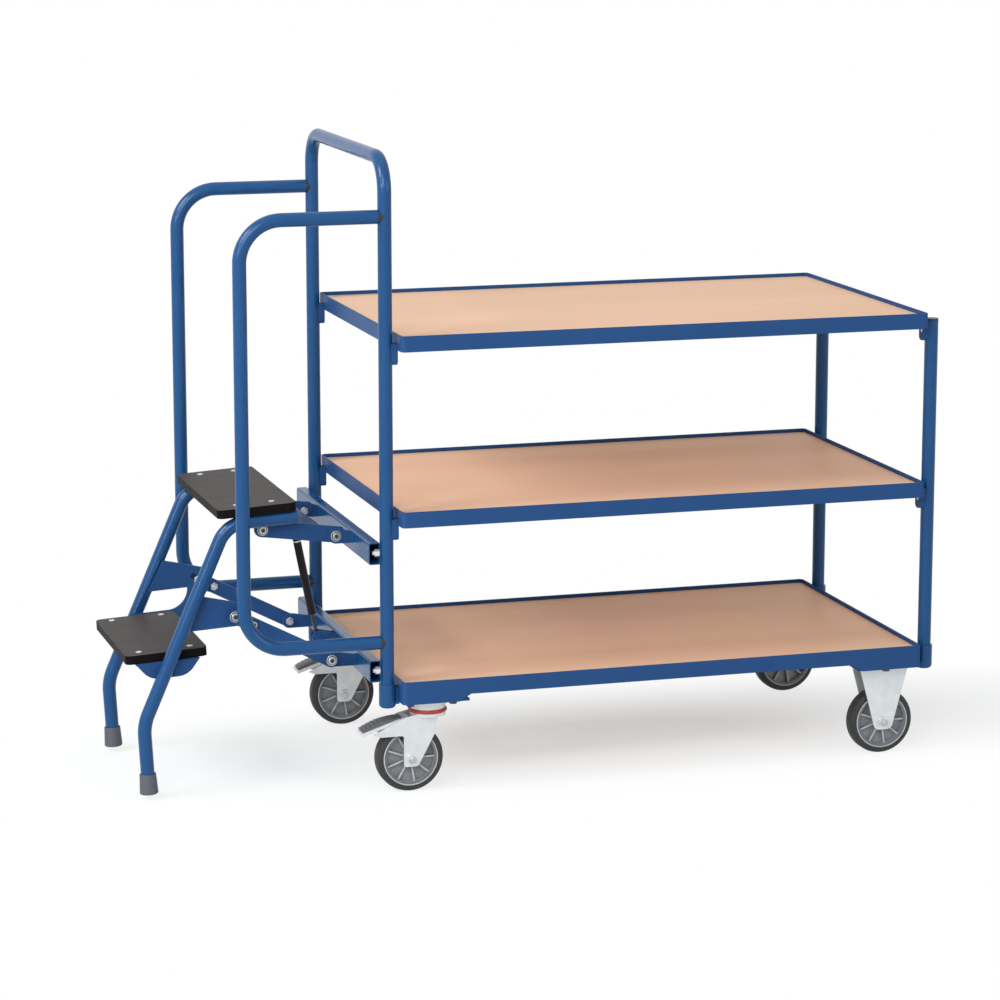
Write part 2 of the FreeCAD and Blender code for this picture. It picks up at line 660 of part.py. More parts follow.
def handle_hoop():
    """Both left uprights and the push handle, bent from one tube."""
    body = new_body("handle_hoop")
    rise = s.handle_height - upright_foot
    span = 2 * upright_y
    bend = s.handle_bend_radius
    corners = [(0, 0, 0), (0, rise, bend), (span, rise, bend), (span, 0, 0)]
    bent_tube(body, "YZ_Plane", "XY_Plane", corners)
    outer = [bottom + s.cross_height / 2 for bottom in cross_floors] + [rail_top, s.rail_bottom]
    upright_holes(body, (0, span), [hook_bolt_height(rim) for rim in hook_shelves], outer)
    body.Placement = place(-upright_x, -upright_y, upright_foot)
    finish("handle_hoop", body)


def right_uprights():
    """Two straight uprights at the far end from the stair, with black plugs on top."""
    tubes = []
    plugs = []
    for _, side in NEAR_FAR:
        body = new_body("right_upright")
        section = new_sketch(body, "XY_Plane")
        ring(section, 0, 0, tube_radius)
        ring(section, 0, 0, tube_radius - s.tube_wall)
        extrude(body, section, right_upright_top - upright_foot)
        holes = new_sketch(body, "YZ_Plane")
        for rim in hook_shelves:
            ring(holes, 0, hook_bolt_height(rim) - upright_foot, bolt_hole)
        extrude(body, holes, s.tube_diameter, cut=True)
        body.Placement = place(upright_x, side * upright_y, upright_foot)
        tubes.append(body)
        shank = tube_radius - s.tube_wall - s.seat_clearance
        layers = [(shank, s.plug_depth), (tube_radius, s.plug_head)]
        base = right_upright_top - s.plug_depth
        plugs.append(stack("upright_plug", layers, place(upright_x, side * upright_y, base)))
    group("right_uprights", tubes)
    group("upright_plugs", plugs)


def upright_places():
    """Axis of each upright, with the turn that points the local +X axis at the shelf."""
    return [(end * upright_x, side * upright_y, FreeCAD.Rotation(UP, 0 if end < 0 else 180))
            for end in (-1, 1) for _, side in NEAR_FAR]


def upright_sockets():
    """Closed cups at the foot of the uprights, each with a tab to the lower shelf."""
    cups = []
    for x, y, turn in upright_places():
        body = new_body("upright_socket")
        radius = s.socket_diameter / 2
        bore = tube_radius + s.seat_clearance
        profile = new_sketch(body, "XZ_Plane")
        trace(profile, [
            (0, 0, 0),
            (radius, 0, s.socket_round),
            (radius, s.socket_height, 0),
            (bore, s.socket_height, 0),
            (bore, s.socket_floor, 0),
            (0, s.socket_floor, 0),
        ])
        revolve(body, profile)
        tab = new_sketch(body, "XY_Plane", s.socket_round)
        half = s.socket_tab_width / 2
        box_outline(tab, (bore + radius) / 2 - s.seat_clearance, s.upright_gap, -half, half)
        extrude(body, tab, s.socket_height - 2 * s.socket_round)
        hollow = new_sketch(body, "XY_Plane", s.socket_floor)
        ring(hollow, 0, 0, bore)
        extrude(body, hollow, s.socket_height, reverse=True, cut=True)
        body.Placement = place(x, y, s.socket_bottom, turn)
        cups.append(body)
    group("upright_sockets", cups)


def shelf_hooks():
    """Brackets between the upper shelves and the uprights, with the bolts that hold them."""
    hooks = []
    bolts = []
    for x, y, turn in upright_places():
        for rim in hook_shelves:
            height = hook_bolt_height(rim)
            body = new_body("shelf_hook")
            outline = new_sketch(body, "YZ_Plane", s.upright_gap)
            half, reach = s.hook_width / 2, s.hook_height / 2
            rounding = 0.75 * half
            low = [(-half, -reach, rounding), (half, -reach, rounding)]
            trace(outline, low + [(half, reach, 0), (-half, reach, 0)])
            ring(outline, 0, 0, bolt_hole)
            extrude(body, outline, s.upright_gap - tube_radius + s.hook_wrap, reverse=True)
            groove = new_sketch(body, "XY_Plane")
            ring(groove, 0, 0, tube_radius + s.seat_clearance)
            extrude(body, groove, 2 * s.hook_height, symmetric=True, cut=True)
            body.Placement = place(x, y, height, turn)
            hooks.append(body)
            inward = turn.multVec(FreeCAD.Vector(1, 0, 0))
            bolts.append(wall_bolt("shelf_bolt", x, y, height, inward.x, s.upright_gap - s.bolt_clearance))
    group("shelf_hook_brackets", hooks)
    group("shelf_hook_bolts", bolts)


# Guard rails

def guard_rails():
    """Bent rails either side of the stair, on black saddles bolted to the left uprights."""
    saddles = []
    bolts = []
    rail_end = upright_x + tube_radius + s.saddle_length
    run = s.rail_reach - tube_radius - s.saddle_length
    drop = rail_top - s.rail_bottom
    bend = s.rail_bend_radius
    for name, side in NEAR_FAR:
        body = new_body("guard_rail_" + name)
        path = [(0, 0, 0), (-run, 0, bend), (-run, -drop, bend), (0, -drop, 0)]
        bent_tube(body, "XZ_Plane", "YZ_Plane", path)
        body.Placement = place(-rail_end, side * upright_y, rail_top)
        finish("guard_rail_" + name, body)
        for height in (rail_top, s.rail_bottom):
            saddle = new_body("guard_rail_saddle")
            outline = new_sketch(saddle, "YZ_Plane", -tube_radius - s.saddle_length)
            ring(outline, 0, 0, s.saddle_diameter / 2)
            ring(outline, 0, 0, bolt_hole)
            extrude(saddle, outline, s.saddle_length + s.saddle_wrap)
            groove = new_sketch(saddle, "XY_Plane")
            ring(groove, 0, 0, tube_radius + s.seat_clearance)
            extrude(saddle, groove, 2 * s.saddle_diameter, symmetric=True, cut=True)
            saddle.Placement = place(-upright_x, side * upright_y, height)
            saddles.append(saddle)
            reach = tube_radius + s.saddle_length + s.rail_bolt_grip
            bolts.append(wall_bolt("rail_bolt", -upright_x, side * upright_y, height, -1, reach))
    group("guard_rail_saddles", saddles)
    group("guard_rail_bolts", bolts)


# Cross tubes and what they carry

def cross_tubes():
    """Two open-ended tubes across the left uprights, with the bolts inside their ends."""
    bolts = []
    wall = s.cross_wall
    for name, bottom in zip(("upper", "lower"), cross_floors):
        body = new_body(name + "_cross_tube")
        profile = new_sketch(body, "XZ_Plane")
        top = bottom + s.cross_height
        box_outline(profile, cross_front, cross_back, bottom, top, s.cross_corner)
        left, right = cross_front + wall, cross_back - wall
        box_outline(profile, left, right, bottom + wall, top - wall, s.cross_corner - wall)
        extrude(body, profile, 2 * (upright_y + s.cross_past), symmetric=True)
        middle = bottom + s.cross_height / 2
        holes = new_sketch(body, "YZ_Plane", cross_back)
        for _, side in NEAR_FAR:
            ring(holes, side * upright_y, middle, bolt_hole)
        extrude(body, holes, 2 * wall, symmetric=True, cut=True)
        finish(name + "_cross_tube", body)
        reach = tube_radius + s.seat_clearance + wall
        nut = [(head_radius, s.cross_nut_height), (bolt_radius, s.cross_bolt_end)]
        for _, side in NEAR_FAR:
            bolts.append(wall_bolt("cross_bolt", -upright_x, side * upright_y, middle, -1, reach, nut))
    group("cross_tube_bolts", bolts)


def ear_outline(sketch, pivot_x, pivot_z, radius):
    """Ear that stands on the face of a cross tube and reaches out to a pivot."""
    root = cross_front - s.seat_clearance
    low, high = pivot_z - radius, pivot_z + radius
    rounding = radius - s.seat_clearance
    trace(sketch, [
        (root, low, 0),
        (root, pivot_z + radius / 2, 0),
        (pivot_x + radius / 2, high, 0),
        (pivot_x - radius, high, rounding),
        (pivot_x - radius, low, rounding),
    ])


def clevis_ears():
    """Ears on both cross tubes: outside the upper arm, inside the lower arms."""
    ears = []
    upper = [(lift_x, s.lift_pivot_height, side, outer + upper_ear_offset) for side, outer in upper_arm_sides]
    lower = [(lower_x, s.lower_pivot_height, side, lower_ear_outer) for _, side in NEAR_FAR]
    for pivot_x, pivot_z, side, outer in upper + lower:
        body = new_body("clevis_ear")
        outline = new_sketch(body, "XZ_Plane")
        ear_outline(outline, pivot_x, pivot_z, s.ear_radius)
        ring(outline, pivot_x, pivot_z, pivot_hole)
        extrude(body, outline, s.ear_thickness, symmetric=True)
        body.Placement = place(0, side * (outer - s.ear_thickness / 2), 0)
        ears.append(body)
    group("clevis_ears", ears)


def pivot_bolt(name, position, side, outer, inner):
    """Pivot bolt along Y, with its head seated at the outer distance and its nut at the inner one."""
    height = s.pivot_head_height
    layers = [(pivot_head, height), (pivot_radius, outer - inner), (pivot_nut, height)]
    position.Rotation = pointing(0, -side, 0)
    return stack(name, layers, position)


def head_end(outer):
    """Outer end of a pivot bolt whose head is seated at a distance from the middle plane."""
    return outer + s.pivot_head_height


def arm_pivot_bolts():
    """Bolts that carry the upper and lower arms on the clevis ears."""
    bolts = []
    for side, face in upper_arm_sides:
        outer, inner = face + upper_ear_offset, face - s.upper_arm_wall - pivot_play
        position = place(lift_x, side * head_end(outer), s.lift_pivot_height)
        bolts.append(pivot_bolt("arm_pivot", position, side, outer, inner))
    outer = s.lower_arm_inner + s.lower_arm_thickness + pivot_play
    for _, side in NEAR_FAR:
        position = place(lower_x, side * head_end(outer), s.lower_pivot_height)
        bolts.append(pivot_bolt("arm_pivot", position, side, outer, lower_ear_outer - s.ear_thickness))
    group("arm_pivot_bolts", bolts)


def gas_spring_foot():
    """Pair of ears on the lower cross tube with the lower pin of the gas spring."""
    pieces = []
    inner = s.gas_eye_width / 2 + s.pivot_gap
    radius = s.gas_eye_diameter / 2 + s.pin_head_height
    for _, side in NEAR_FAR:
        body = new_body("gas_foot_ear")
        outline = new_sketch(body, "XZ_Plane")
        ear_outline(outline, gas_foot_x, s.gas_foot_height, radius)
        ring(outline, gas_foot_x, s.gas_foot_height, gas_pin_radius + s.pivot_clearance)
        extrude(body, outline, s.foot_ear_thickness, symmetric=True)
        body.Placement = place(0, side * (inner + s.foot_ear_thickness / 2), 0)
        pieces.append(body)
    reach = inner + s.foot_ear_thickness
    head = (s.pin_head_diameter / 2, s.pin_head_height)
    start = place(gas_foot_x, -reach - s.pin_head_height, s.gas_foot_height, pointing(0, 1, 0))
    pieces.append(stack("gas_foot_pin", [head, (gas_pin_radius, 2 * reach), head], start))
    group("gas_spring_foot", pieces)


# Step linkage

def upper_arm():
    """Inverted U of sheet steel on the upper cross tube that carries the steps and holds the gas spring."""
    body = new_body("upper_arm")
    length, end = s.upper_arm_length, s.upper_arm_end
    past = end + s.upper_arm_web
    web_floor = s.upper_arm_above - s.upper_arm_web
    above = s.upper_arm_above + s.upper_arm_web
    below = -s.upper_arm_below - s.upper_arm_web
    web_left = -length + s.web_from_step
    lower_round = s.upper_arm_below - s.seat_clearance
    for side, outer in upper_arm_sides:
        outline = new_sketch(body, "XZ_Plane")
        trace(outline, [
            (-length - end, -s.upper_arm_below, lower_round),
            (end, -s.upper_arm_below, lower_round),
            (end, s.upper_arm_above, lower_round / 2),
            (-length - end, s.upper_arm_above, lower_round / 2),
        ])
        ring(outline, 0, 0, pivot_hole)
        ring(outline, -length, 0, pivot_hole)
        extrude(body, outline, outer, reverse=side > 0)
    for side, outer in upper_arm_sides:
        inside = new_sketch(body, "XZ_Plane")
        trace(inside, [
            (-length - past, below, 0),
            (past, below, 0),
            (past, above, 0),
            (-s.web_from_lift, above, 0),
            (-s.web_from_lift, web_floor, 0),
            (web_left, web_floor, 0),
            (web_left, above, 0),
            (-length - past, above, 0),
        ])
        extrude(body, inside, outer - s.upper_arm_wall, reverse=side < 0, cut=True)
    lug = s.gas_eye_diameter / 2
    lug_inner = s.gas_body_diameter / 2 + s.pivot_gap
    left, right = -s.gas_eye_along - lug, -s.gas_eye_along + lug
    lugs = new_sketch(body, "XZ_Plane")
    foot = s.gas_eye_above - lug
    trace(lugs, [(left, foot, lug / 2), (right, foot, lug / 2), (right, s.upper_arm_above, 0),
                 (left, s.upper_arm_above, 0)])
    ring(lugs, -s.gas_eye_along, s.gas_eye_above, gas_pin_radius + s.pivot_clearance)
    extrude(body, lugs, 2 * (lug_inner + s.lug_thickness), symmetric=True)
    between = new_sketch(body, "XZ_Plane")
    box_outline(between, left - lug, right + lug, below, web_floor)
    extrude(body, between, 2 * lug_inner, symmetric=True, cut=True)
    tilt = FreeCAD.Rotation(Y_AXIS, s.upper_arm_angle.value)
    body.Placement = place(lift_x, 0, s.lift_pivot_height, tilt)
    finish("upper_arm", body)
    reach = lug_inner + s.lug_thickness
    head = (s.pin_head_diameter / 2, s.pin_head_height)
    start = place(gas_eye_x, -reach - s.pin_head_height, gas_eye_z, pointing(0, 1, 0))
    finish("gas_spring_top_pin", stack("gas_top_pin", [head, (gas_pin_radius, 2 * reach), head], start))


def lower_arms():
    """Flat bars from the lower cross tube to the cheek plates of the steps, with a rivet each."""
    rivets = []
    radius = s.lower_arm_width / 2
    length = s.lower_arm_length
    tilt = FreeCAD.Rotation(Y_AXIS, s.lower_arm_angle.value)
    middle = s.lower_arm_inner + s.lower_arm_thickness / 2
    rivet_hole = bolt_radius + s.seat_clearance
    for name, side in NEAR_FAR:
        body = new_body("lower_arm_" + name)
        outline = new_sketch(body, "XZ_Plane")
        box_outline(outline, -length - radius, radius, -radius, radius, radius - s.seat_clearance)
        ring(outline, 0, 0, pivot_hole)
        ring(outline, -length, 0, pivot_radius + s.open_pivot_clearance)
        ring(outline, -s.lower_rivet_place, 0, rivet_hole)
        extrude(body, outline, s.lower_arm_thickness, symmetric=True)
        body.Placement = place(lower_x, side * middle, s.lower_pivot_height, tilt)
        finish("lower_arm_" + name, body)
        offset = tilt.multVec(FreeCAD.Vector(-s.lower_rivet_place.value, 0, 0))
        cap = s.bolt_head_height / 2
        layers = [(pivot_head, cap), (bolt_radius, s.lower_arm_thickness), (head_radius, cap)]
        start = side * (s.lower_arm_inner - cap)
        position = place(lower_x + offset.x, start, s.lower_pivot_height + offset.z, pointing(0, side, 0))
        rivets.append(stack("lower_arm_rivet", layers, position))
    group("lower_arm_rivets", rivets)


def gas_spring():
    """Gas spring between the lower cross tube and the upper arm: a rod below, its cylinder above."""
    dx, dz = gas_eye_x.value - gas_foot_x.value, gas_eye_z.value - s.gas_foot_height.value
    length = math.hypot(dx, dz)
    lean = FreeCAD.Rotation(UP, FreeCAD.Vector(dx, 0, dz))
    foot = place(gas_foot_x, 0, s.gas_foot_height, lean)
    eye_radius = s.gas_eye_diameter / 2
    rod_radius = s.gas_rod_diameter / 2
    rod = new_body("gas_spring_rod")
    eye = new_sketch(rod, "XZ_Plane")
    ring(eye, 0, 0, eye_radius)
    ring(eye, 0, 0, gas_pin_radius + s.pivot_clearance)
    extrude(rod, eye, s.gas_eye_width, symmetric=True)
    start = (eye_radius + gas_pin_radius) / 2
    bar = new_sketch(rod, "XY_Plane", start)
    ring(bar, 0, 0, rod_radius)
    extrude(rod, bar, s.gas_rod_shown + s.gas_rod_inside - start)
    rod.Placement = foot
    finish("gas_spring_rod", rod)
    cylinder = new_body("gas_spring_cylinder")
    eye = new_sketch(cylinder, "XZ_Plane")
    ring(eye, 0, length, eye_radius)
    ring(eye, 0, length, gas_pin_radius + s.open_pivot_clearance)
    extrude(cylinder, eye, s.gas_eye_width, symmetric=True)
    barrel = new_sketch(cylinder, "XY_Plane", s.gas_rod_shown)
    ring(barrel, 0, 0, s.gas_body_diameter / 2)
    ring(barrel, 0, 0, rod_radius + s.gas_rod_clearance)
    bore_depth = s.gas_rod_inside + s.gas_stroke_room
    extrude(cylinder, barrel, bore_depth)
    cap = new_sketch(cylinder, "XY_Plane", s.gas_rod_shown + bore_depth)
    ring(cap, 0, 0, s.gas_body_diameter / 2)
    extrude(cylinder, cap, length - (eye_radius + gas_pin_radius) / 2 - s.gas_rod_shown - bore_depth)
    eye_hole = new_sketch(cylinder, "XZ_Plane")
    ring(eye_hole, 0, length, gas_pin_radius + s.open_pivot_clearance)
    extrude(cylinder, eye_hole, 2 * s.gas_eye_width, symmetric=True, cut=True)
    cylinder.Placement = foot
    finish("gas_spring_cylinder", cylinder)


# Steps

def step_legs():
    """Bent leg tubes with rubber foot caps."""
    caps = []
    foot_seat = s.leg_foot_drop - s.foot_cap_floor
    left, rise = s.leg_run_right + s.leg_run_left, s.leg_run_height
    for name, side in NEAR_FAR:
        body = new_body("step_leg_" + name)
        foot = s.leg_run_right + s.leg_foot_left
        bent_tube(body, "XZ_Plane", "YZ_Plane", [
            (0, 0, 0),
            (-left, 0, s.leg_upper_bend),
            (-foot, -rise - s.leg_knee_drop, s.leg_lower_bend),
            (-foot, -rise - foot_seat, 0),
        ])
        body.Placement = on_step(s.leg_run_right, side * s.step_leg_plane, s.leg_run_height)
        finish("step_leg_" + name, body)
        cap = new_body("foot_cap")
        bore = tube_radius + s.seat_clearance
        profile = new_sketch(cap, "XZ_Plane")
        trace(profile, [
            (0, 0, 0),
            (s.foot_cap_bottom / 2, 0, s.foot_cap_floor / 4),
            (s.foot_cap_top / 2, s.foot_cap_height, 0),
            (bore, s.foot_cap_height, 0),
            (bore, s.foot_cap_floor, 0),
            (0, s.foot_cap_floor, 0),
        ])
        revolve(cap, profile)
        cap.Placement = on_step(-s.leg_foot_left, side * s.step_leg_plane, -s.leg_foot_drop)
        caps.append(cap)
    group("foot_caps", caps)


def step_boards():
    """Dark step boards with their screws."""
    screws = []
    screw_radius = s.step_screw_diameter / 2
    top_floor = s.leg_run_height + tube_radius
    low_floor = -s.low_step_drop - s.step_board_thickness
    boards = (
        ("top_step_board", -s.top_step_left, s.top_step_right, s.top_step_half, top_floor,
         s.top_screw_inset, s.top_screw_side),
        ("low_step_board", -s.low_step_left, -s.low_step_right, s.low_step_half, low_floor,
         s.low_screw_inset, s.low_screw_side),
    )
    for name, left, right, half, floor, inset, aside in boards:
        body = new_body(name)
        outline = new_sketch(body, "XY_Plane")
        box_outline(outline, left, right, -half, half, s.step_board_corner)
        places = [(u, y) for u in (left + inset, right - inset) for y in (-half + aside, half - aside)]
        for u, y in places:
            ring(outline, u, y, screw_radius + s.seat_clearance)
        extrude(body, outline, s.step_board_thickness)
        body.Placement = on_step(0, 0, floor)
        finish(name, body)
        top = floor + s.step_board_thickness
        for u, y in places:
            layers = [(screw_radius, s.step_board_thickness), (s.step_screw_head / 2, s.step_screw_rise)]
            screws.append(stack("step_screw", layers, on_step(u, y, top - s.step_board_thickness)))
    group("step_screws", screws)


def top_step_bracket():
    """Bent sheet under the top board with the ears that hang on the upper arm."""
    body = new_body("top_step_bracket")
    top = s.leg_run_height + tube_radius
    floor = top - s.bracket_sheet
    ear = s.ear_radius
    rounding = ear - s.seat_clearance
    for side, outer in upper_arm_sides:
        outline = new_sketch(body, "XZ_Plane")
        trace(outline, [
            (-s.bracket_left, floor, 0),
            (-ear, floor, 0),
            (-ear, -ear, rounding),
            (ear, -ear, rounding),
            (ear, floor, 0),
            (s.bracket_right, floor, 0),
            (s.bracket_right, top, 0),
            (-s.bracket_left, top, 0),
        ])
        ring(outline, 0, 0, pivot_hole)
        extrude(body, outline, outer - upper_ear_inset, reverse=side > 0)
    for side, outer in upper_arm_sides:
        inside = new_sketch(body, "XZ_Plane")
        box_outline(inside, -2 * ear, 2 * ear, -2 * ear, floor)
        extrude(body, inside, outer - upper_ear_inset - s.ear_thickness, reverse=side < 0, cut=True)
    body.Placement = on_step(0, 0, 0)
    finish("top_step_bracket", body)


def low_step_pan():
    """Sheet that carries the low board between the cheek plates."""
    body = new_body("low_step_pan")
    outline = new_sketch(body, "XY_Plane")
    half = cheek_inner
    inset = 0.6 * s.low_screw_inset
    box_outline(outline, -s.low_step_left + inset, -s.low_step_right - inset, -half, half)
    extrude(body, outline, s.bracket_sheet, reverse=True)
    body.Placement = on_step(0, 0, -s.low_step_drop - s.step_board_thickness)
    finish("low_step_pan", body)


cheek_outer = s.step_leg_plane - tube_radius - s.seat_clearance
cheek_inner = cheek_outer - s.cheek_thickness


def leg_axis(height):
    """Slanted leg axis at a height, both measured level from the step pivot."""
    slope = (s.leg_foot_left - s.leg_run_left) / (s.leg_knee_drop + s.leg_run_height)
    return -s.leg_run_left - slope * (s.leg_run_height - height)


def step_cheeks():
    """Plates along the inside of the legs, from below the low board up to the lower arm pivot."""
    lobe, rounding = s.cheek_lobe, s.cheek_lobe_round
    right, top, bottom = step_elbow_u + lobe, step_elbow_v + lobe, step_elbow_v - lobe
    board_floor = -s.low_step_drop - s.step_board_thickness
    low, foot = board_floor - s.cheek_depth, s.cheek_foot_run
    foot_left = -s.low_step_left + s.cheek_foot_inset
    foot_right = -s.low_step_right - s.cheek_foot_inset
    half_neck = s.cheek_neck / 2
    peak = step_elbow_v + s.cheek_rise
    behind = leg_axis(peak) + s.cheek_neck_shift
    neck_top = leg_axis(bottom) + s.cheek_neck_shift
    neck_low = leg_axis(board_floor) + s.cheek_neck_shift
    keel = [
        (foot_left, board_floor, 0),
        (foot_left + foot, low, s.cheek_foot_round),
        (foot_right - foot, low, s.cheek_foot_round),
    ]
    near = keel + [
        (foot_right, board_floor, 0),
        (neck_low + half_neck, board_floor, 0),
        (neck_top + half_neck, bottom, 0),
        (right, bottom, rounding),
        (right, top, rounding),
        (behind, peak, 0),
        (neck_top - half_neck, bottom, 0),
        (neck_low - half_neck, board_floor, 0),
    ]
    far_floor = step_elbow_v - s.cheek_far_floor
    bow_right, bow_floor = step_elbow_u - s.cheek_bow_right, far_floor - s.cheek_bow
    far = keel + [
        (bow_right, board_floor, 0),
        (right, bottom, rounding / 2),
        (right, top, rounding),
        (behind, peak, 0),
        (neck_top, far_floor, 0),
        (bow_right, far_floor, 0),
        (bow_right, bow_floor, s.cheek_bow - s.seat_clearance),
        (neck_low - half_neck, bow_floor, 0),
        (neck_low - half_neck, board_floor, 0),
    ]
    for (name, side), corners in zip(NEAR_FAR, (near, far)):
        body = new_body("step_cheek_" + name)
        outline = new_sketch(body, "XZ_Plane")
        trace(outline, corners)
        if side < 0:
            ring(outline, step_elbow_u, step_elbow_v, pivot_hole)
        else:
            pivot_slot(outline)
        extrude(body, outline, s.cheek_thickness, symmetric=True)
        body.Placement = on_step(0, side * (cheek_outer - s.cheek_thickness / 2), 0)
        finish("step_cheek_" + name, body)


def pivot_slot(sketch):
    """Slot that ends at the far lower arm pivot and leans toward the leg."""
    along = (-sine(s.slot_lean), cosine(s.slot_lean))
    across = (cosine(s.slot_lean), sine(s.slot_lean))
    reach = s.slot_length + pivot_hole
    rounding = pivot_hole - s.pivot_clearance / 2
    corners = []
    wide = pivot_hole
    for run, edge in ((-wide, -wide), (-wide, wide), (reach, wide), (reach, -wide)):
        corners.append((step_elbow_u + run * along[0] + edge * across[0],
                        step_elbow_v + run * along[1] + edge * across[1], rounding))
    trace(sketch, corners)


def step_pivot_bolts():
    """Bolts at the step end of the upper arm and of the lower arms."""
    bolts = []
    for side, face in upper_arm_sides:
        outer, inner = face + pivot_play, face - upper_ear_inset - s.ear_thickness
        bolts.append(pivot_bolt("step_pivot", on_step(0, side * head_end(outer), 0), side, outer, inner))
    outer = s.lower_arm_inner + s.lower_arm_thickness + pivot_play
    for _, side in NEAR_FAR:
        position = on_step(step_elbow_u, side * head_end(outer), step_elbow_v)
        bolts.append(pivot_bolt("step_pivot", position, side, outer, cheek_inner))
    group("step_pivot_bolts", bolts)


# Casters

def wheel(name, x, side):
    """Tyre on a ribbed wheel centre, axle along Y."""
    turn = pointing(0, 1, 0)
    centre = place(x, side * wheel_y, wheel_radius, turn)
    half_rim, rim_radius = s.rim_width / 2, s.rim_diameter / 2
    half_hub = fork_inner - s.hub_side_gap
    hub_radius = s.hub_diameter / 2
    body = new_body("wheel_centre_" + name)
    profile = new_sketch(body, "XZ_Plane")
    bore = axle_radius + s.axle_clearance
    half_web = s.wheel_web / 2
    band = rim_radius - s.rim_band
    trace(profile, [
        (bore, -half_hub, 0),
        (hub_radius, -half_hub, 0),
        (hub_radius, -half_web, 0),
        (band, -half_web, 0),
        (band, -half_rim, 0),
        (rim_radius, -half_rim, 0),
        (rim_radius, half_rim, 0),
        (band, half_rim, 0),
        (band, half_web, 0),
        (hub_radius, half_web, 0),
        (hub_radius, half_hub, 0),
        (bore, half_hub, 0),
    ])
    revolve(body, profile)
    rib = new_sketch(body, "XY_Plane")
    half_rib = s.spoke_thickness / 2
    box_outline(rib, hub_radius - half_rib, band + half_rib, -half_rib, half_rib)
    spoke = extrude(body, rib, s.spoke_width, symmetric=True)
    ribs = body.newObject("PartDesign::PolarPattern", body.Name + "_ribs")
    ribs.Originals = [spoke]
    ribs.Axis = (rib, ["N_Axis"])
    ribs.Angle = 360
    bind(ribs, "Occurrences", s.spoke_count)
    body.Tip = ribs
    body.Placement = centre
    finish("wheel_centre_" + name, body)
    tyre = new_body("tyre_" + name)
    profile = new_sketch(tyre, "XZ_Plane")
    half_tyre = s.tyre_width / 2
    trace(profile, [
        (rim_radius, -half_tyre, 0),
        (wheel_radius, -half_tyre, s.tyre_round),
        (wheel_radius, half_tyre, s.tyre_round),
        (rim_radius, half_tyre, 0),
    ])
    revolve(tyre, profile)
    tyre.Placement = centre
    finish("tyre_" + name, tyre)


def axle_bolt(x, side):
    """Axle through a fork, with a head on the outside and a nut on the inside."""
    layers = [(s.axle_head_diameter / 2, s.axle_head_height), (axle_radius, 2 * fork_outer),
              (s.axle_head_diameter / 2, s.axle_head_height)]
    start = side * wheel_y - fork_outer - s.axle_head_height
    return stack("axle", layers, place(x, start, wheel_radius, pointing(0, 1, 0)))


def caster_plate(body, lift, pattern):
    """Bolt-on plate of a caster, with its bolt holes."""
    plate = new_sketch(body, "XY_Plane", lift)
    half_length, half_width = s.caster_plate_length / 2, s.caster_plate_width / 2
    box_outline(plate, -half_length, half_length, -half_width, half_width, s.shelf_corner_radius)
    for along, across in pattern:
        ring(plate, along, across, bolt_hole)
    extrude(body, plate, s.caster_plate_thickness)


def fixed_forks():
    """Forks that can't swivel, with plate and axle."""
    forks = []
    axles = []
    rise = plate_underside - wheel_radius
    half_top, half_end = s.fixed_fork_top / 2, s.fixed_fork_end / 2
    for middle_x, side, pattern in caster_places():
        if middle_x is not fixed_x:
            continue
        body = new_body("fixed_fork")
        outline = new_sketch(body, "XZ_Plane")
        trace(outline, [
            (-half_end, -half_end * 0.9, half_end * 0.7),
            (half_end, -half_end * 0.9, half_end * 0.7),
            (half_top, rise, 0),
            (-half_top, rise, 0),
        ])
        ring(outline, 0, 0, axle_radius + s.axle_clearance)
        extrude(body, outline, 2 * fork_outer, symmetric=True)
        inside = new_sketch(body, "XZ_Plane")
        beyond = half_top + s.fork_wall
        box_outline(inside, -beyond, beyond, -s.fixed_fork_end, rise - s.fork_wall)
        extrude(body, inside, s.fork_gap, symmetric=True, cut=True)
        caster_plate(body, rise, pattern)
        body.Placement = place(fixed_x, side * wheel_y, wheel_radius)
        forks.append(body)
        axles.append(axle_bolt(fixed_x, side))
    group("fixed_forks", forks)
    group("fixed_axles", axles)


def swivel_tops():
    """Plate, bearing race and king pin of each swivel caster, with the red seal ring."""
    tops = []
    seals = []
    race_end = plate_underside - s.race_height
    crown_top = race_end - s.crown_gap
    crown_floor = crown_top - s.crown_thickness
    for middle_x, side, pattern in caster_places():
        if middle_x is not swivel_x:
            continue
        body = new_body("swivel_top")
        caster_plate(body, -s.caster_plate_thickness, pattern)
        nut_top = crown_floor - s.crown_gap
        layers = ((s.race_diameter / 2, race_end, plate_underside),
                  (s.king_pin_diameter / 2, nut_top, race_end),
                  (s.king_nut_diameter / 2, nut_top - s.king_nut_height, nut_top))
        for radius, low, high in layers:
            disc = new_sketch(body, "XY_Plane", low - mount_height)
            ring(disc, 0, 0, radius)
            extrude(body, disc, high - low)
        body.Placement = place(swivel_x, side * wheel_y, mount_height)
        tops.append(body)
        seal = new_body("seal_ring")
        section = new_sketch(seal, "XY_Plane")
        ring(section, 0, 0, s.seal_diameter / 2)
        ring(section, 0, 0, s.race_diameter / 2 + s.seat_clearance)
        extrude(seal, section, s.seal_height)
        seal.Placement = place(swivel_x, side * wheel_y, race_end + s.seal_lift)
        seals.append(seal)
    group("swivel_tops", tops)
    group("caster_seal_rings", seals)


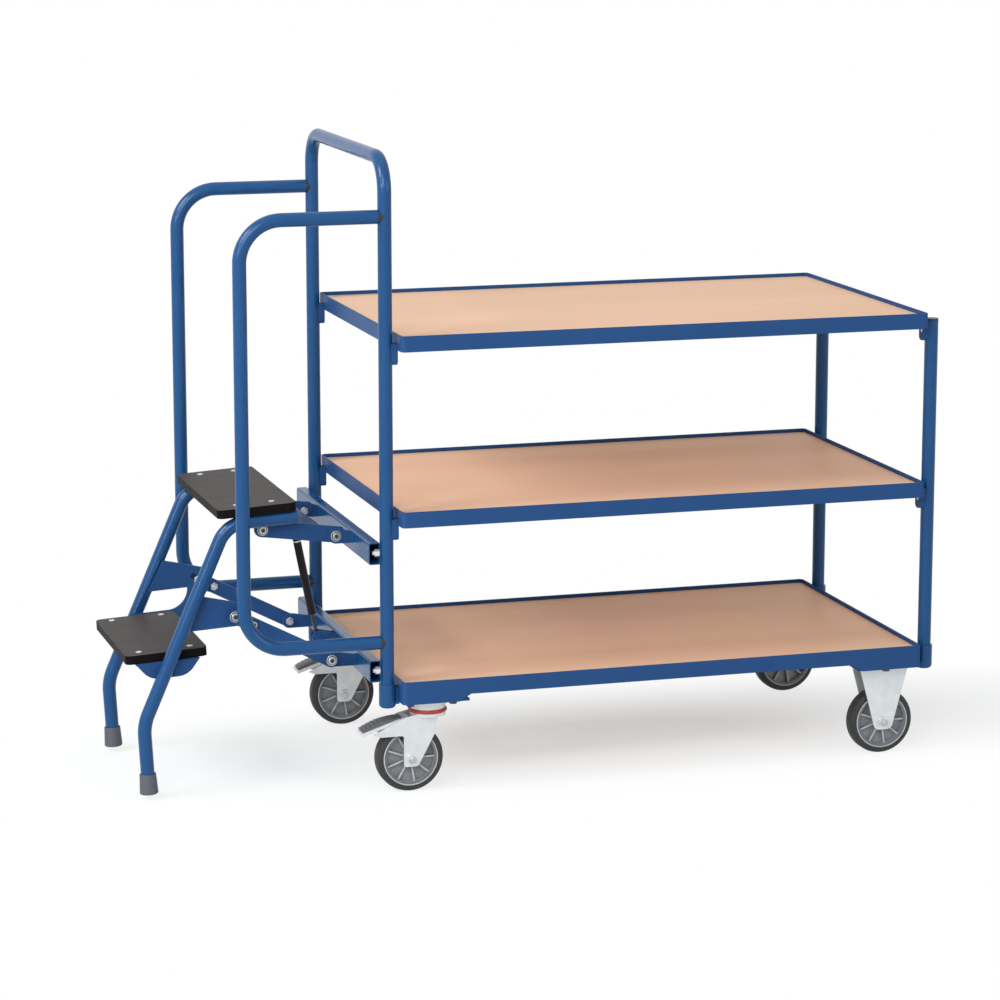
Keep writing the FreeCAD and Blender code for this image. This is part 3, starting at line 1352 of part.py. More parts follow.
def swivel_caster(name, side):
    """Fork, brake pedal and axle that swivel under one corner."""
    crown_top = plate_underside - s.race_height - s.crown_gap - wheel_radius
    crown_floor = crown_top - s.crown_thickness
    trail = s.swivel_trail
    body = new_body("swivel_fork_" + name)
    outline = new_sketch(body, "XZ_Plane")
    leg = s.axle_head_diameter * 0.75
    lower_edge = s.pedal_up - 1.25 * s.axle_head_diameter
    tip = s.pedal_out + s.pedal_reach * 0.75
    trace(outline, [
        (-leg, -leg, leg * 0.4),
        (leg * 0.85, -leg, leg * 0.6),
        (trail * 1.2, lower_edge, leg * 0.6),
        (trail * 1.35, crown_floor, 0),
        (trail * 1.35, crown_top, 0),
        (trail * 0.4, crown_top, 0),
        (-leg, crown_floor, 0),
        (-tip, lower_edge + leg * 0.35, 0),
        (-tip + leg, lower_edge, 0),
        (-leg, lower_edge, leg * 0.3),
    ])
    ring(outline, 0, 0, axle_radius + s.axle_clearance)
    ring(outline, -s.pedal_out, s.pedal_up, s.pedal_pin_diameter / 2 + s.pivot_clearance)
    extrude(body, outline, 2 * fork_outer, symmetric=True)
    inside = new_sketch(body, "XZ_Plane")
    past = 2 * s.pedal_reach
    trace(inside, [
        (-past, -past, 0),
        (past, -past, 0),
        (past, crown_floor, 0),
        (trail * 0.4, crown_floor, 0),
        (trail * 0.4, past, 0),
        (-past, past, 0),
    ])
    extrude(body, inside, s.fork_gap, symmetric=True, cut=True)
    crown = new_sketch(body, "XY_Plane", crown_floor)
    ring(crown, trail, 0, s.race_diameter / 2)
    extrude(body, crown, s.crown_thickness)
    king_hole = new_sketch(body, "XY_Plane", crown_floor - s.crown_thickness)
    ring(king_hole, trail, 0, s.king_pin_diameter / 2 + s.axle_clearance)
    extrude(body, king_hole, 3 * s.crown_thickness, reverse=True, cut=True)
    body.Placement = place(swivel_axle_x, side * wheel_y, wheel_radius)
    finish("swivel_fork_" + name, body)
    finish("swivel_axle_" + name, axle_bolt(swivel_axle_x, side))
    brake_pedal(name, side)


def brake_pedal(name, side):
    """Foot pedal between the fork sides, turning on its own pin."""
    body = new_body("brake_pedal_" + name)
    reach, thick = s.pedal_reach, s.pedal_thickness
    hub = s.pedal_pin_diameter
    drop = reach * 0.3
    outline = new_sketch(body, "XZ_Plane")
    trace(outline, [
        (-hub, -hub * 0.8, 0),
        (hub, -hub * 0.8, hub * 0.5),
        (hub, hub * 1.6, 0),
        (-hub, hub * 1.6, 0),
        (-reach, hub * 1.6 - drop, thick * 0.4),
        (-reach, hub * 1.6 - drop - thick, thick * 0.4),
        (-hub, hub * 1.6 - thick, 0),
    ])
    extrude(body, outline, s.pedal_width, symmetric=True)
    pin = new_sketch(body, "XZ_Plane")
    ring(pin, 0, 0, s.pedal_pin_diameter / 2)
    extrude(body, pin, 2 * fork_outer, symmetric=True)
    body.Placement = place(swivel_axle_x - s.pedal_out, side * wheel_y, wheel_radius + s.pedal_up)
    finish("brake_pedal_" + name, body)


def caster_plate_bolts():
    """Bolts that hold the caster plates to the gussets."""
    bolts = []
    for middle_x, side, pattern in caster_places():
        for along, across in pattern:
            grip = s.caster_plate_thickness + s.gusset_thickness
            layers = [(head_radius, s.bolt_head_height), (bolt_radius, grip), (head_radius, s.bolt_head_height)]
            start = place(middle_x + along, side * wheel_y + across, plate_underside - s.bolt_head_height)
            bolts.append(stack("plate_bolt", layers, start))
    group("caster_plate_bolts", bolts)


def casters():
    """Four casters: swivelling with brakes at the stair end, fixed at the other end."""
    swivel_tops()
    fixed_forks()
    for name, side in NEAR_FAR:
        swivel_caster(name, side)
        wheel("swivel_" + name, swivel_axle_x, side)
        wheel("fixed_" + name, fixed_x, side)
    caster_plate_bolts()


def build():
    """Make every sub-part, check it and move the origin under the middle of the whole."""
    shelves()
    handle_hoop()
    right_uprights()
    upright_sockets()
    shelf_hooks()
    guard_rails()
    cross_tubes()
    clevis_ears()
    arm_pivot_bolts()
    gas_spring_foot()
    upper_arm()
    lower_arms()
    gas_spring()
    step_legs()
    step_boards()
    top_step_bracket()
    low_step_pan()
    step_cheeks()
    step_pivot_bolts()
    casters()
    doc.recompute()
    for item in doc.Objects:
        if "Invalid" in item.State or "Error" in item.State:
            raise RuntimeError("%s failed: %s" % (item.Label, item.State))
    for node in nodes:
        if node.Shape.isNull() or not node.Shape.isValid() or not node.Shape.Solids:
            raise RuntimeError("%s has no valid solid" % node.Label)


def centre_origin():
    """Move the whole so that the origin is on the floor under its middle."""
    box = FreeCAD.BoundBox()
    for node in nodes:
        box.add(node.Shape.optimalBoundingBox())
    shift = FreeCAD.Vector(-box.Center.x, -box.Center.y, -box.ZMin)
    for node in nodes:
        node.Placement = FreeCAD.Placement(shift, FreeCAD.Rotation()) * node.Placement
    doc.recompute()
    print("overall", round(box.XLength, 2), round(box.YLength, 2), round(box.ZLength, 2))
    print("shift", round(shift.x, 4), round(shift.y, 4), round(shift.z, 4))
    return shift


def write_parts():
    """One file for each sub-part."""
    os.makedirs("parts", exist_ok=True)
    for node in nodes:
        node.Shape.exportStep(os.path.join("parts", node.Label + ".step"))
    print(len(nodes), "sub-parts")


build()
centre_origin()
write_parts()
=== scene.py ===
import json
import math

import bmesh
import bpy
from mathutils import Matrix, Vector


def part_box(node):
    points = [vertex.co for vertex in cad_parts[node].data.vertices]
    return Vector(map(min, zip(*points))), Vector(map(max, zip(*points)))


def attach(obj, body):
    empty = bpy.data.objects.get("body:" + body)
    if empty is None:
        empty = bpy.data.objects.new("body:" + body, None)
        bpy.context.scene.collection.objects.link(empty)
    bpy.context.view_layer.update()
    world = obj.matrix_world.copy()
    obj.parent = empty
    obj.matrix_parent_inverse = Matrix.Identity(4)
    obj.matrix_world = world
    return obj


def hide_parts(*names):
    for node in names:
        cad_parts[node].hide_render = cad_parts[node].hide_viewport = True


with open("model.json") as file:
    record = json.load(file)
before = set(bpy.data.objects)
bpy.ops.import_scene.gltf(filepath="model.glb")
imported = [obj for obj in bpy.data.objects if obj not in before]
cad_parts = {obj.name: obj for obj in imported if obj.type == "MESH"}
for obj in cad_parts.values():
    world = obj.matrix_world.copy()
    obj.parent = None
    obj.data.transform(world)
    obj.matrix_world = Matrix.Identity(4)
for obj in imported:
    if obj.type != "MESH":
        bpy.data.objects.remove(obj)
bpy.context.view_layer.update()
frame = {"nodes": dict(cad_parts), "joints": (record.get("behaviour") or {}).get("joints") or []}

bl_info = {
    "name": "Order Picking Trolley",
    "version": (1, 0, 0),
    "blender": (4, 5, 0),
    "location": "View3D > Sidebar > Trolley",
    "description": "Finishes and details of a shelf trolley with a spring-lifted stair, and its stage",
    "category": "Object",
}

JOINT_AT = {joint["name"]: Vector(joint["pos_m"]) for joint in frame["joints"] if "pos_m" in joint}
SIDES = (("near", -1), ("far", 1))
GAS_AXIS = next(Vector(joint["axis"]) for joint in frame["joints"] if joint["name"] == "gas_stroke")
MM = 0.001

# Stage: places from the trolley's middle on the floor, and sizes, in metres. The camera's frame is in millimetres.
# A lamp has its place and its width. The shadow's core is the share of its reach where the floor is darkest.
CAMERA_PLACE = (-1.8857, -6.223, 1.757)
CAMERA_AROUND = math.radians(-16.76)
CAMERA_ABOVE = math.radians(11.15)
CAMERA_FRAME = 36.0
SIGHT_END = 60.0
LAMP_AIM = Vector((0.0, 0.0, 0.45))
LAMPS = {
    "key": ((-2.8, -4.6, 3.4), 3.0),
    "side": ((-3.9, -1.0, 3.8), 2.2),
    "top": ((0.3, 0.4, 5.2), 4.5),
    "fill": ((3.6, -4.4, 2.2), 3.0),
    "glint": ((-4.45, -2.8, 1.9), 0.8),
}
FLOOR_REACH = 16.0
FLOOR_TONE = (0.81, 0.86, 0.88, 1.0)
SHADOW_CENTRE = (0.15, 0.02)
SHADOW_CORE = 0.22

# Surfaces: depth of the bump, and limits for smooth shading and rounded edges
SKIN_DEPTH = 0.2 * MM
FIBRE_DEPTH = 0.3 * MM
SMOOTH_BELOW = math.radians(35)
JOIN_WITHIN = 0.01 * MM
FLAT_WITHIN = math.radians(0.5)
ROUND_ABOVE = math.radians(40)
WIDE_ROUNDING = 2.0 * MM

# Wheel centre: painted highlight on the front edges of the ribs and painted shade on the rim, by the distance from
# the wheel's middle plane
RIB_HIGHLIGHT_STARTS = (9.6 * MM, 10.8 * MM)
RIB_HIGHLIGHT_ENDS = (12.2 * MM, 11.4 * MM)
RIM_PAINTED_SHADE_STARTS = (12.4 * MM, 13.2 * MM)
PAINTED_RIM_SHADE = 0.55

# Small forms: sizes, and shares of the solid that a form sits on
STEP_LEAN = math.radians(-3.2)
EAR_LEAST_LENGTH = 30.0 * MM
EAR_WELD_SHARE = 0.72
CHEEK_WELD_FROM = Vector((58.0 * MM, 0.0, 45.0 * MM))
CHEEK_WELD_WAY = Vector((0.45, 0.0, 0.893))
CHEEK_WELD_LENGTH = 115.0 * MM
PEDAL_WIDTH = 37.5 * MM
PEDAL_TIP_RISE = 7.0 * MM
PEDAL_HEEL_DROP = 1.0 * MM
PAD_MARGIN = 3.5 * MM
PAD_START = 0.03
PAD_SPAN = 0.94
PAD_RIDGED = 0.55
PAD_THICK = 0.9 * MM
PAD_SINK = 0.5 * MM
PAD_EDGE = 0.6 * MM
BEAD_SIDES = 10
AXLE_HEAD_SHARE = 0.72
AXLE_HEAD_HEIGHT = 3.2 * MM
NECK_FROM_FOOT = 185.0 * MM
LONG_THREAD = 10.0 * MM
SHORT_THREAD = 3.0 * MM
NUT_END = 12.0 * MM


def colour(label, words, value):
    """Colour setting in linear light."""
    return bpy.props.FloatVectorProperty(
        name=label, description=words, subtype="COLOR", size=3, min=0.0, max=1.0, default=value)


def length(label, words, value):
    """Length setting in metres."""
    return bpy.props.FloatProperty(
        name=label, description=words, unit="LENGTH", min=0.0, precision=5, default=value)


def share(label, words, value):
    """Setting between nothing and all."""
    return bpy.props.FloatProperty(
        name=label, description=words, subtype="FACTOR", min=0.0, max=1.0, default=value)


def power(label, words, value):
    """Lamp power setting in watts."""
    return bpy.props.FloatProperty(name=label, description=words, unit="POWER", min=0.0, default=value)


class TrolleyFinish(bpy.types.PropertyGroup):
    """Colours and gloss of the trolley's materials."""
    paint: colour("Tube paint", "Blue powder coat of the tubes", (0.0077, 0.0585, 0.170))
    paint_sheet: colour("Sheet paint", "Blue powder coat of the sheet steel", (0.0212, 0.0660, 0.183))
    paint_deep: colour("Deep paint", "Darker clouds in the powder coat of the tubes", (0.0060, 0.0520, 0.155))
    paint_rough: share("Paint roughness", "Gloss of the powder coat", 0.22)
    beech: colour("Beech", "Lacquered beech board", (0.755, 0.495, 0.338))
    beech_dark: colour("Beech grain", "Darker grain of the board", (0.675, 0.420, 0.273))
    step_face: colour("Step face", "Dark film on the face of the step boards", (0.056, 0.0515, 0.0500))
    step_grain: colour("Step specks", "Lighter specks in the step boards", (0.073, 0.0675, 0.0655))
    step_edge: colour("Step edge", "Sealed edges of the step boards", (0.007, 0.006, 0.006))
    zinc: colour("Zinc", "Bright zinc plate", (0.665, 0.690, 0.700))
    zinc_dull: colour("Dull zinc", "Cloudy patches of the zinc plate", (0.575, 0.600, 0.610))
    steel: colour("Bolt steel", "Grey steel of the pivot bolts and axle ends", (0.52, 0.53, 0.54))
    # Black caster plate bolts, and painted shade in the grooves and sockets of the pivot bolts
    bolt_black: colour("Black bolts", "Caster plate bolts and bolt sockets", (0.045, 0.046, 0.05))
    tyre: colour("Tyre", "Grey rubber tread", (0.032, 0.033, 0.034))
    wheel: colour("Wheel centre", "Grey moulded wheel centre", (0.245, 0.260, 0.275))
    # Painted highlight: paler tone on the front edges of the wheel ribs
    wheel_rib_highlight: colour("Wheel ribs", "Paler front edges of the wheel centre", (0.40, 0.415, 0.43))
    bead: colour("Wheel bead", "Pale line between tyre and wheel centre", (0.42, 0.43, 0.43))
    foot: colour("Foot caps", "Grey rubber of the feet", (0.073, 0.081, 0.095))
    black: colour("Black plastic", "Guard rail saddles and upright plugs", (0.012, 0.012, 0.014))
    pad: colour("Pedal pad", "Dark grey tread pad of a brake pedal", (0.085, 0.09, 0.10))
    seal: colour("Seal ring", "Red seal of the swivel bearing", (0.40, 0.02, 0.019))


class TrolleyDetail(bpy.types.PropertyGroup):
    """Sizes of the small forms."""
    edge_round: length("Edge rounding", "Rounding of plate edges", 0.8 * MM)
    board_round: length("Board rounding", "Rounding of the step board edges", 5.0 * MM)
    foot_round: length("Foot rounding", "Rounding of the rubber feet", 2.5 * MM)
    weld: length("Weld bead", "Radius of the weld beads", 1.6 * MM)
    bead: length("Wheel bead", "Thickness of the pale line on a wheel", 1.1 * MM)
    ridge: length("Pedal ridge", "Height of the ridges on a pedal pad", 1.3 * MM)
    pad_arch: length("Pedal arch", "Rise of a pedal pad in its middle", 6.0 * MM)
    ridges: bpy.props.IntProperty(
        name="Pedal ridges", description="Ridges across a pedal pad", min=1, default=6)


class TrolleyStage(bpy.types.PropertyGroup):
    """Camera and studio light."""
    lens: bpy.props.FloatProperty(
        name="Lens", description="Focal length on a 36 mm frame", unit="CAMERA", min=1.0, default=126.76)
    key: power("Key light", "Power of the large light at the front left", 172.0)
    side: power("Side light", "Power of the light at the stair end", 158.0)
    top: power("Top light", "Power of the overhead light", 15.0)
    fill: power("Fill light", "Power of the light at the front right", 55.0)
    glint: power("Glint light", "Power of the small light that draws a line along the stair legs", 45.0)
    sky: share("Surround", "Strength of the white surround on the object", 0.45)
    floor_glow: share("Floor whiteness", "Share of plain white in the floor under the trolley", 0.48)
    shadow_length: length("Shadow length", "Half length of the soft shadow on the floor", 1.45)
    shadow_width: length("Shadow width", "Half width of the soft shadow on the floor", 0.42)


# Shader groups

def new_group(name, inputs, outputs):
    """Empty shader group with value inputs and the given outputs."""
    group = bpy.data.node_groups.new(name, "ShaderNodeTree")
    for label, value in inputs:
        socket = group.interface.new_socket(name=label, in_out="INPUT", socket_type="NodeSocketFloat")
        socket.default_value = value
    for label in outputs:
        group.interface.new_socket(name=label, in_out="OUTPUT", socket_type="NodeSocketFloat")
    start = group.nodes.new("NodeGroupInput")
    end = group.nodes.new("NodeGroupOutput")
    start.location, end.location = (-900, 0), (600, 0)
    return group, start, end


def add(tree, kind, x, y, **settings):
    """New node with its settings."""
    made = tree.nodes.new(kind)
    made.location = (x, y)
    for name, value in settings.items():
        setattr(made, name, value)
    return made


def scaled_place(tree, x, y, stretch, shift=(0.0, 0.0, 0.0)):
    """Object coordinates, stretched along each axis and then shifted."""
    place = add(tree, "ShaderNodeTexCoord", x, y)
    mapping = add(tree, "ShaderNodeMapping", x + 180, y)
    mapping.inputs["Scale"].default_value = stretch
    mapping.inputs["Location"].default_value = shift
    tree.links.new(place.outputs["Object"], mapping.inputs["Vector"])
    return mapping.outputs["Vector"]


def noise(tree, vector, x, y, scale, detail=3.0, rough=0.5):
    """Noise over a vector. The scale is a number or a socket."""
    made = add(tree, "ShaderNodeTexNoise", x, y)
    made.inputs["Detail"].default_value = detail
    made.inputs["Roughness"].default_value = rough
    if isinstance(scale, float):
        made.inputs["Scale"].default_value = scale
    else:
        tree.links.new(scale, made.inputs["Scale"])
    tree.links.new(vector, made.inputs["Vector"])
    return made.outputs["Fac"]


def remap(tree, value, x, y, low, high, to_low=0.0, to_high=1.0):
    """Stretch a value between two limits."""
    made = add(tree, "ShaderNodeMapRange", x, y)
    for label, number in (("From Min", low), ("From Max", high), ("To Min", to_low), ("To Max", to_high)):
        made.inputs[label].default_value = number
    tree.links.new(value, made.inputs["Value"])
    return made.outputs["Result"]


def multiply(tree, value, factor, x, y):
    """Product of two sockets."""
    made = add(tree, "ShaderNodeMath", x, y, operation="MULTIPLY")
    tree.links.new(value, made.inputs[0])
    tree.links.new(factor, made.inputs[1])
    return made.outputs["Value"]


def fine_skin():
    """Fine surface grain with soft clouds: coats, moulded plastic, rubber and plating."""
    inputs, outputs = (("Grain", 900.0), ("Clouds", 6.0)), ("Height", "Cloud", "Gloss")
    group, start, end = new_group("Fine Skin", inputs, outputs)
    place = scaled_place(group, -860, -220, (1.0, 1.0, 1.0))
    grain = noise(group, place, -420, 120, start.outputs["Grain"], 2.0)
    cloud = noise(group, place, -420, -120, start.outputs["Clouds"], 4.0, 0.6)
    smear = noise(group, place, -420, -340, 34.0, 5.0, 0.7)
    group.links.new(grain, end.inputs["Height"])
    group.links.new(remap(group, cloud, 0, -120, 0.3, 0.7), end.inputs["Cloud"])
    group.links.new(remap(group, smear, 0, -340, 0.25, 0.75), end.inputs["Gloss"])
    return group


def long_fibre():
    """Wood figure along X: slow bands, long fibres and short flecks."""
    inputs, outputs = (("Fibre", 1.0), ("Bands", 1.0)), ("Figure", "Height", "Gloss")
    group, start, end = new_group("Long Fibre", inputs, outputs)
    slow = scaled_place(group, -860, 300, (0.5, 9.0, 9.0))
    bands = noise(group, slow, -420, 300, start.outputs["Bands"], 3.0)
    along = scaled_place(group, -860, 0, (6.0, 420.0, 420.0))
    fibre = noise(group, along, -420, 0, start.outputs["Fibre"], 4.0, 0.65)
    short = scaled_place(group, -860, -300, (70.0, 620.0, 620.0))
    fleck = noise(group, short, -420, -300, start.outputs["Fibre"], 2.0)
    mixed = add(group, "ShaderNodeMath", 60, 120, operation="MULTIPLY_ADD")
    mixed.inputs[1].default_value = 0.5
    group.links.new(fibre, mixed.inputs[0])
    group.links.new(remap(group, bands, -160, 300, 0.25, 0.75, 0.0, 0.45), mixed.inputs[2])
    dashes = remap(group, fleck, -160, -300, 0.62, 0.74, 0.0, 0.35)
    total = add(group, "ShaderNodeMath", 240, 0, operation="ADD", use_clamp=True)
    group.links.new(mixed.outputs["Value"], total.inputs[0])
    group.links.new(dashes, total.inputs[1])
    group.links.new(total.outputs["Value"], end.inputs["Figure"])
    group.links.new(fibre, end.inputs["Height"])
    group.links.new(remap(group, bands, 60, -200, 0.2, 0.8), end.inputs["Gloss"])
    return group


def handling_marks():
    """Sparse scuffs and rub marks where hands, boxes and shoes pass."""
    group, start, end = new_group("Handling Marks", (("Scale", 14.0), ("Amount", 0.5)), ("Mask",))
    place = scaled_place(group, -860, 0, (1.0, 1.0, 1.0))
    patch = noise(group, place, -420, 120, start.outputs["Scale"], 6.0, 0.7)
    drawn = scaled_place(group, -860, -260, (40.0, 260.0, 90.0))
    streak = noise(group, drawn, -420, -140, 1.0, 3.0, 0.6)
    patches = remap(group, patch, -160, 120, 0.56, 0.78)
    streaks = remap(group, streak, -160, -140, 0.5, 0.7)
    marks = multiply(group, patches, streaks, 80, 0)
    group.links.new(multiply(group, marks, start.outputs["Amount"], 280, 0), end.inputs["Mask"])
    return group


GROUPS = {}


def shared(name, maker):
    """Build a shader group once."""
    if name not in GROUPS:
        GROUPS[name] = maker()
    return GROUPS[name]


# Materials

def base_material(name, **sockets):
    """Material with a Principled shader whose plain sockets are set."""
    made = bpy.data.materials.new(name)
    made.use_nodes = True
    shader = made.node_tree.nodes["Principled BSDF"]
    for label, value in sockets.items():
        shader.inputs[label.replace("_", " ")].default_value = value
    return made, made.node_tree, shader


def place_group(tree, group, x, y, **values):
    """Put a shared group into a material with its own values."""
    made = add(tree, "ShaderNodeGroup", x, y, node_tree=group)
    for label, value in values.items():
        made.inputs[label].default_value = value
    return made


def tint(tree, factor, low, high, x, y):
    """Colour between two tones."""
    made = add(tree, "ShaderNodeMix", x, y, data_type="RGBA")
    made.inputs["A"].default_value = (*low, 1.0)
    made.inputs["B"].default_value = (*high, 1.0)
    tree.links.new(factor, made.inputs["Factor"])
    return made.outputs["Result"]


def mark_over(tree, under, mask, over, x, y):
    """Lay a plain colour over another where a mask says so."""
    made = add(tree, "ShaderNodeMix", x, y, data_type="RGBA")
    made.inputs["B"].default_value = (*over, 1.0)
    tree.links.new(mask, made.inputs["Factor"])
    tree.links.new(under, made.inputs["A"])
    return made.outputs["Result"]


def darker(tone, factor):
    """Tone with less light in it."""
    return [factor * part for part in tone]


def roughen(tree, shader, gloss, low, high):
    """Roughness between two limits, after the gloss of a shared group."""
    tree.links.new(remap(tree, gloss, -620, -160, 0.0, 1.0, low, high), shader.inputs["Roughness"])


def relief(tree, shader, height, strength, distance=SKIN_DEPTH):
    """Bump from a height."""
    bump = add(tree, "ShaderNodeBump", -260, -420)
    bump.inputs["Strength"].default_value = strength
    bump.inputs["Distance"].default_value = distance
    tree.links.new(height, bump.inputs["Height"])
    tree.links.new(bump.outputs["Normal"], shader.inputs["Normal"])


def coated(name, deep, plain, rough, grain, clouds, bump, marks=0.0, mark_tone=(0.3, 0.34, 0.4),
           vary=0.06, **sockets):
    """Coat, plastic, rubber or plating: two tones in soft clouds, fine skin and handling marks."""
    made, tree, shader = base_material(name, **sockets)
    skin = place_group(tree, shared("Fine Skin", fine_skin), -1000, 0, Grain=grain, Clouds=clouds)
    tone = tint(tree, skin.outputs["Cloud"], deep, plain, -620, 160)
    if marks:
        scuffs = place_group(tree, shared("Handling Marks", handling_marks), -1000, 320, Amount=marks)
        tone = mark_over(tree, tone, scuffs.outputs["Mask"], mark_tone, -360, 240)
    tree.links.new(tone, shader.inputs["Base Color"])
    roughen(tree, shader, skin.outputs["Gloss"], rough - vary, rough + vary)
    relief(tree, shader, skin.outputs["Height"], bump)
    return made


def beech_board(finish):
    """Lacquered beech board."""
    made, tree, shader = base_material("beech_board", Specular_IOR_Level=0.13)
    figure = place_group(tree, shared("Long Fibre", long_fibre), -1000, 0)
    scuffs = place_group(tree, shared("Handling Marks", handling_marks), -1000, 320,
                         Scale=9.0, Amount=0.25)
    tone = tint(tree, figure.outputs["Figure"], finish.beech, finish.beech_dark, -620, 160)
    tone = mark_over(tree, tone, scuffs.outputs["Mask"], (0.6, 0.42, 0.3), -360, 240)
    tree.links.new(tone, shader.inputs["Base Color"])
    roughen(tree, shader, figure.outputs["Gloss"], 0.46, 0.56)
    relief(tree, shader, figure.outputs["Height"], 0.05, FIBRE_DEPTH)
    return made


def step_board(finish):
    """Film-faced board: dark grey face with fine specks, near-black sealed edges."""
    made, tree, shader = base_material("step_board_face", Specular_IOR_Level=0.02)
    skin = place_group(tree, shared("Fine Skin", fine_skin), -1000, 0, Grain=1500.0, Clouds=420.0)
    scuffs = place_group(tree, shared("Handling Marks", handling_marks), -1000, 320, Amount=0.2)
    tone = tint(tree, skin.outputs["Cloud"], finish.step_face, finish.step_grain, -620, 160)
    tone = mark_over(tree, tone, scuffs.outputs["Mask"], (0.11, 0.105, 0.1), -440, 240)
    normal = add(tree, "ShaderNodeNewGeometry", -1000, -320)
    split = add(tree, "ShaderNodeSeparateXYZ", -800, -320)
    tree.links.new(normal.outputs["Normal"], split.inputs["Vector"])
    side = remap(tree, split.outputs["Z"], -620, -320, 0.9, 0.6)
    tree.links.new(mark_over(tree, tone, side, finish.step_edge, -240, 160), shader.inputs["Base Color"])
    roughen(tree, shader, skin.outputs["Gloss"], 0.40, 0.50)
    relief(tree, shader, skin.outputs["Height"], 0.12)
    return made


def wheel_centre(finish):
    """Moulded wheel centre: grey web, with a painted highlight along the front edges of the ribs and painted shade
    on the rim.
    """
    made, tree, shader = base_material("wheel_centre_grey", Specular_IOR_Level=0.4)
    skin = place_group(tree, shared("Fine Skin", fine_skin), -1000, 0, Grain=900.0, Clouds=30.0)
    tone = tint(tree, skin.outputs["Cloud"], darker(finish.wheel, 0.86), finish.wheel, -620, 160)
    low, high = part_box("wheel_centre_swivel_far")
    place = add(tree, "ShaderNodeTexCoord", -1400, -320)
    split = add(tree, "ShaderNodeSeparateXYZ", -1220, -320)
    tree.links.new(place.outputs["Object"], split.inputs["Vector"])
    apart = add(tree, "ShaderNodeMath", -1040, -320, operation="ABSOLUTE")
    tree.links.new(split.outputs["Y"], apart.inputs[0])
    depth = add(tree, "ShaderNodeMath", -860, -320, operation="SUBTRACT")
    depth.inputs[1].default_value = (low.y + high.y) / 2
    tree.links.new(apart.outputs["Value"], depth.inputs[0])
    outward = add(tree, "ShaderNodeMath", -680, -320, operation="ABSOLUTE")
    tree.links.new(depth.outputs["Value"], outward.inputs[0])
    forward = outward.outputs["Value"]
    # Painted highlight along the front edges of the ribs
    starts = remap(tree, forward, -500, -320, *RIB_HIGHLIGHT_STARTS)
    ends = remap(tree, forward, -500, -520, *RIB_HIGHLIGHT_ENDS)
    rib_highlit = mark_over(tree, tone, multiply(tree, starts, ends, -380, -320), finish.wheel_rib_highlight, -300, 160)
    # Painted shade on the outer band of the rim
    band = remap(tree, forward, -500, -720, *RIM_PAINTED_SHADE_STARTS)
    rim_shaded = mark_over(tree, rib_highlit, band, darker(finish.wheel, PAINTED_RIM_SHADE), -140, 160)
    tree.links.new(rim_shaded, shader.inputs["Base Color"])
    roughen(tree, shader, skin.outputs["Gloss"], 0.36, 0.48)
    relief(tree, shader, skin.outputs["Height"], 0.06)
    return made


def make_materials(finish):
    """All finishes of the trolley by name."""
    f = finish
    worn = {"marks": 0.3, "mark_tone": (0.2, 0.2, 0.2)}
    paint = {"grain": 1100.0, "clouds": 5.0, "marks": 0.02, "vary": 0.025}
    return {
        "blue": coated("blue_tube_coat", f.paint_deep, f.paint, f.paint_rough, bump=0.002,
                       Specular_IOR_Level=0.25, **paint),
        "blue_sheet": coated("blue_sheet_coat", darker(f.paint_sheet, 0.9), f.paint_sheet,
                             f.paint_rough + 0.1, bump=0.006, Specular_IOR_Level=0.035, **paint),
        "beech": beech_board(f),
        "step_board": step_board(f),
        "zinc": coated("bright_zinc", f.zinc_dull, f.zinc, 0.32,
                       grain=700.0, clouds=42.0, bump=0.03, Metallic=0.5),
        "steel": coated("bolt_steel", darker(f.steel, 0.8), f.steel, 0.34,
                        grain=700.0, clouds=60.0, bump=0.02, Metallic=0.8),
        # Real black bolts, and painted shade in the pivot bolt grooves and sockets
        "bolt_black": coated("black_bolts", darker(f.bolt_black, 0.7), f.bolt_black, 0.35,
                             grain=700.0, clouds=60.0, bump=0.02),
        "tyre": coated("grey_tread", darker(f.tyre, 0.8), f.tyre, 0.62, grain=800.0, clouds=26.0, bump=0.15,
                       marks=0.35, mark_tone=(0.2, 0.195, 0.19), Specular_IOR_Level=0.3),
        "wheel_grey": wheel_centre(f),
        "bead": coated("wheel_bead_pale", darker(f.bead, 0.9), f.bead, 0.4,
                       grain=900.0, clouds=30.0, bump=0.04),
        "foot_rubber": coated("foot_rubber", darker(f.foot, 0.8), f.foot, 0.6,
                              grain=700.0, clouds=30.0, bump=0.15, **worn),
        "black_plastic": coated("black_plastic", darker(f.black, 0.7), f.black, 0.42,
                                grain=1000.0, clouds=20.0, bump=0.08),
        "pad": coated("pedal_pad", darker(f.pad, 0.8), f.pad, 0.45,
                      grain=900.0, clouds=24.0, bump=0.12, **worn),
        "gas_black": coated("gas_spring_black", (0.005, 0.005, 0.006), (0.008, 0.008, 0.009), 0.34,
                            grain=900.0, clouds=16.0, bump=0.03, Specular_IOR_Level=0.2),
        "dark_rod": coated("dark_rod", (0.05, 0.05, 0.055), (0.09, 0.09, 0.095), 0.22,
                           grain=400.0, clouds=30.0, bump=0.01, Metallic=1.0),
        "red_seal": coated("red_seal", darker(f.seal, 0.85), f.seal, 0.4,
                           grain=800.0, clouds=20.0, bump=0.05),
    }


MATERIALS = {}


def finishes():
    """Materials, made on first use from the scene's settings."""
    if not MATERIALS:
        MATERIALS.update(make_materials(bpy.context.scene.trolley_finish))
    return MATERIALS


# Mesh helpers

def dress(names, finish_name, rounding=0.0):
    """Give CAD nodes a finish, and round their edges a little."""
    for name in names:
        piece = frame["nodes"][name]
        piece.data.materials.clear()
        piece.data.materials.append(finishes()[finish_name])
        if rounding:
            soften(piece, rounding)


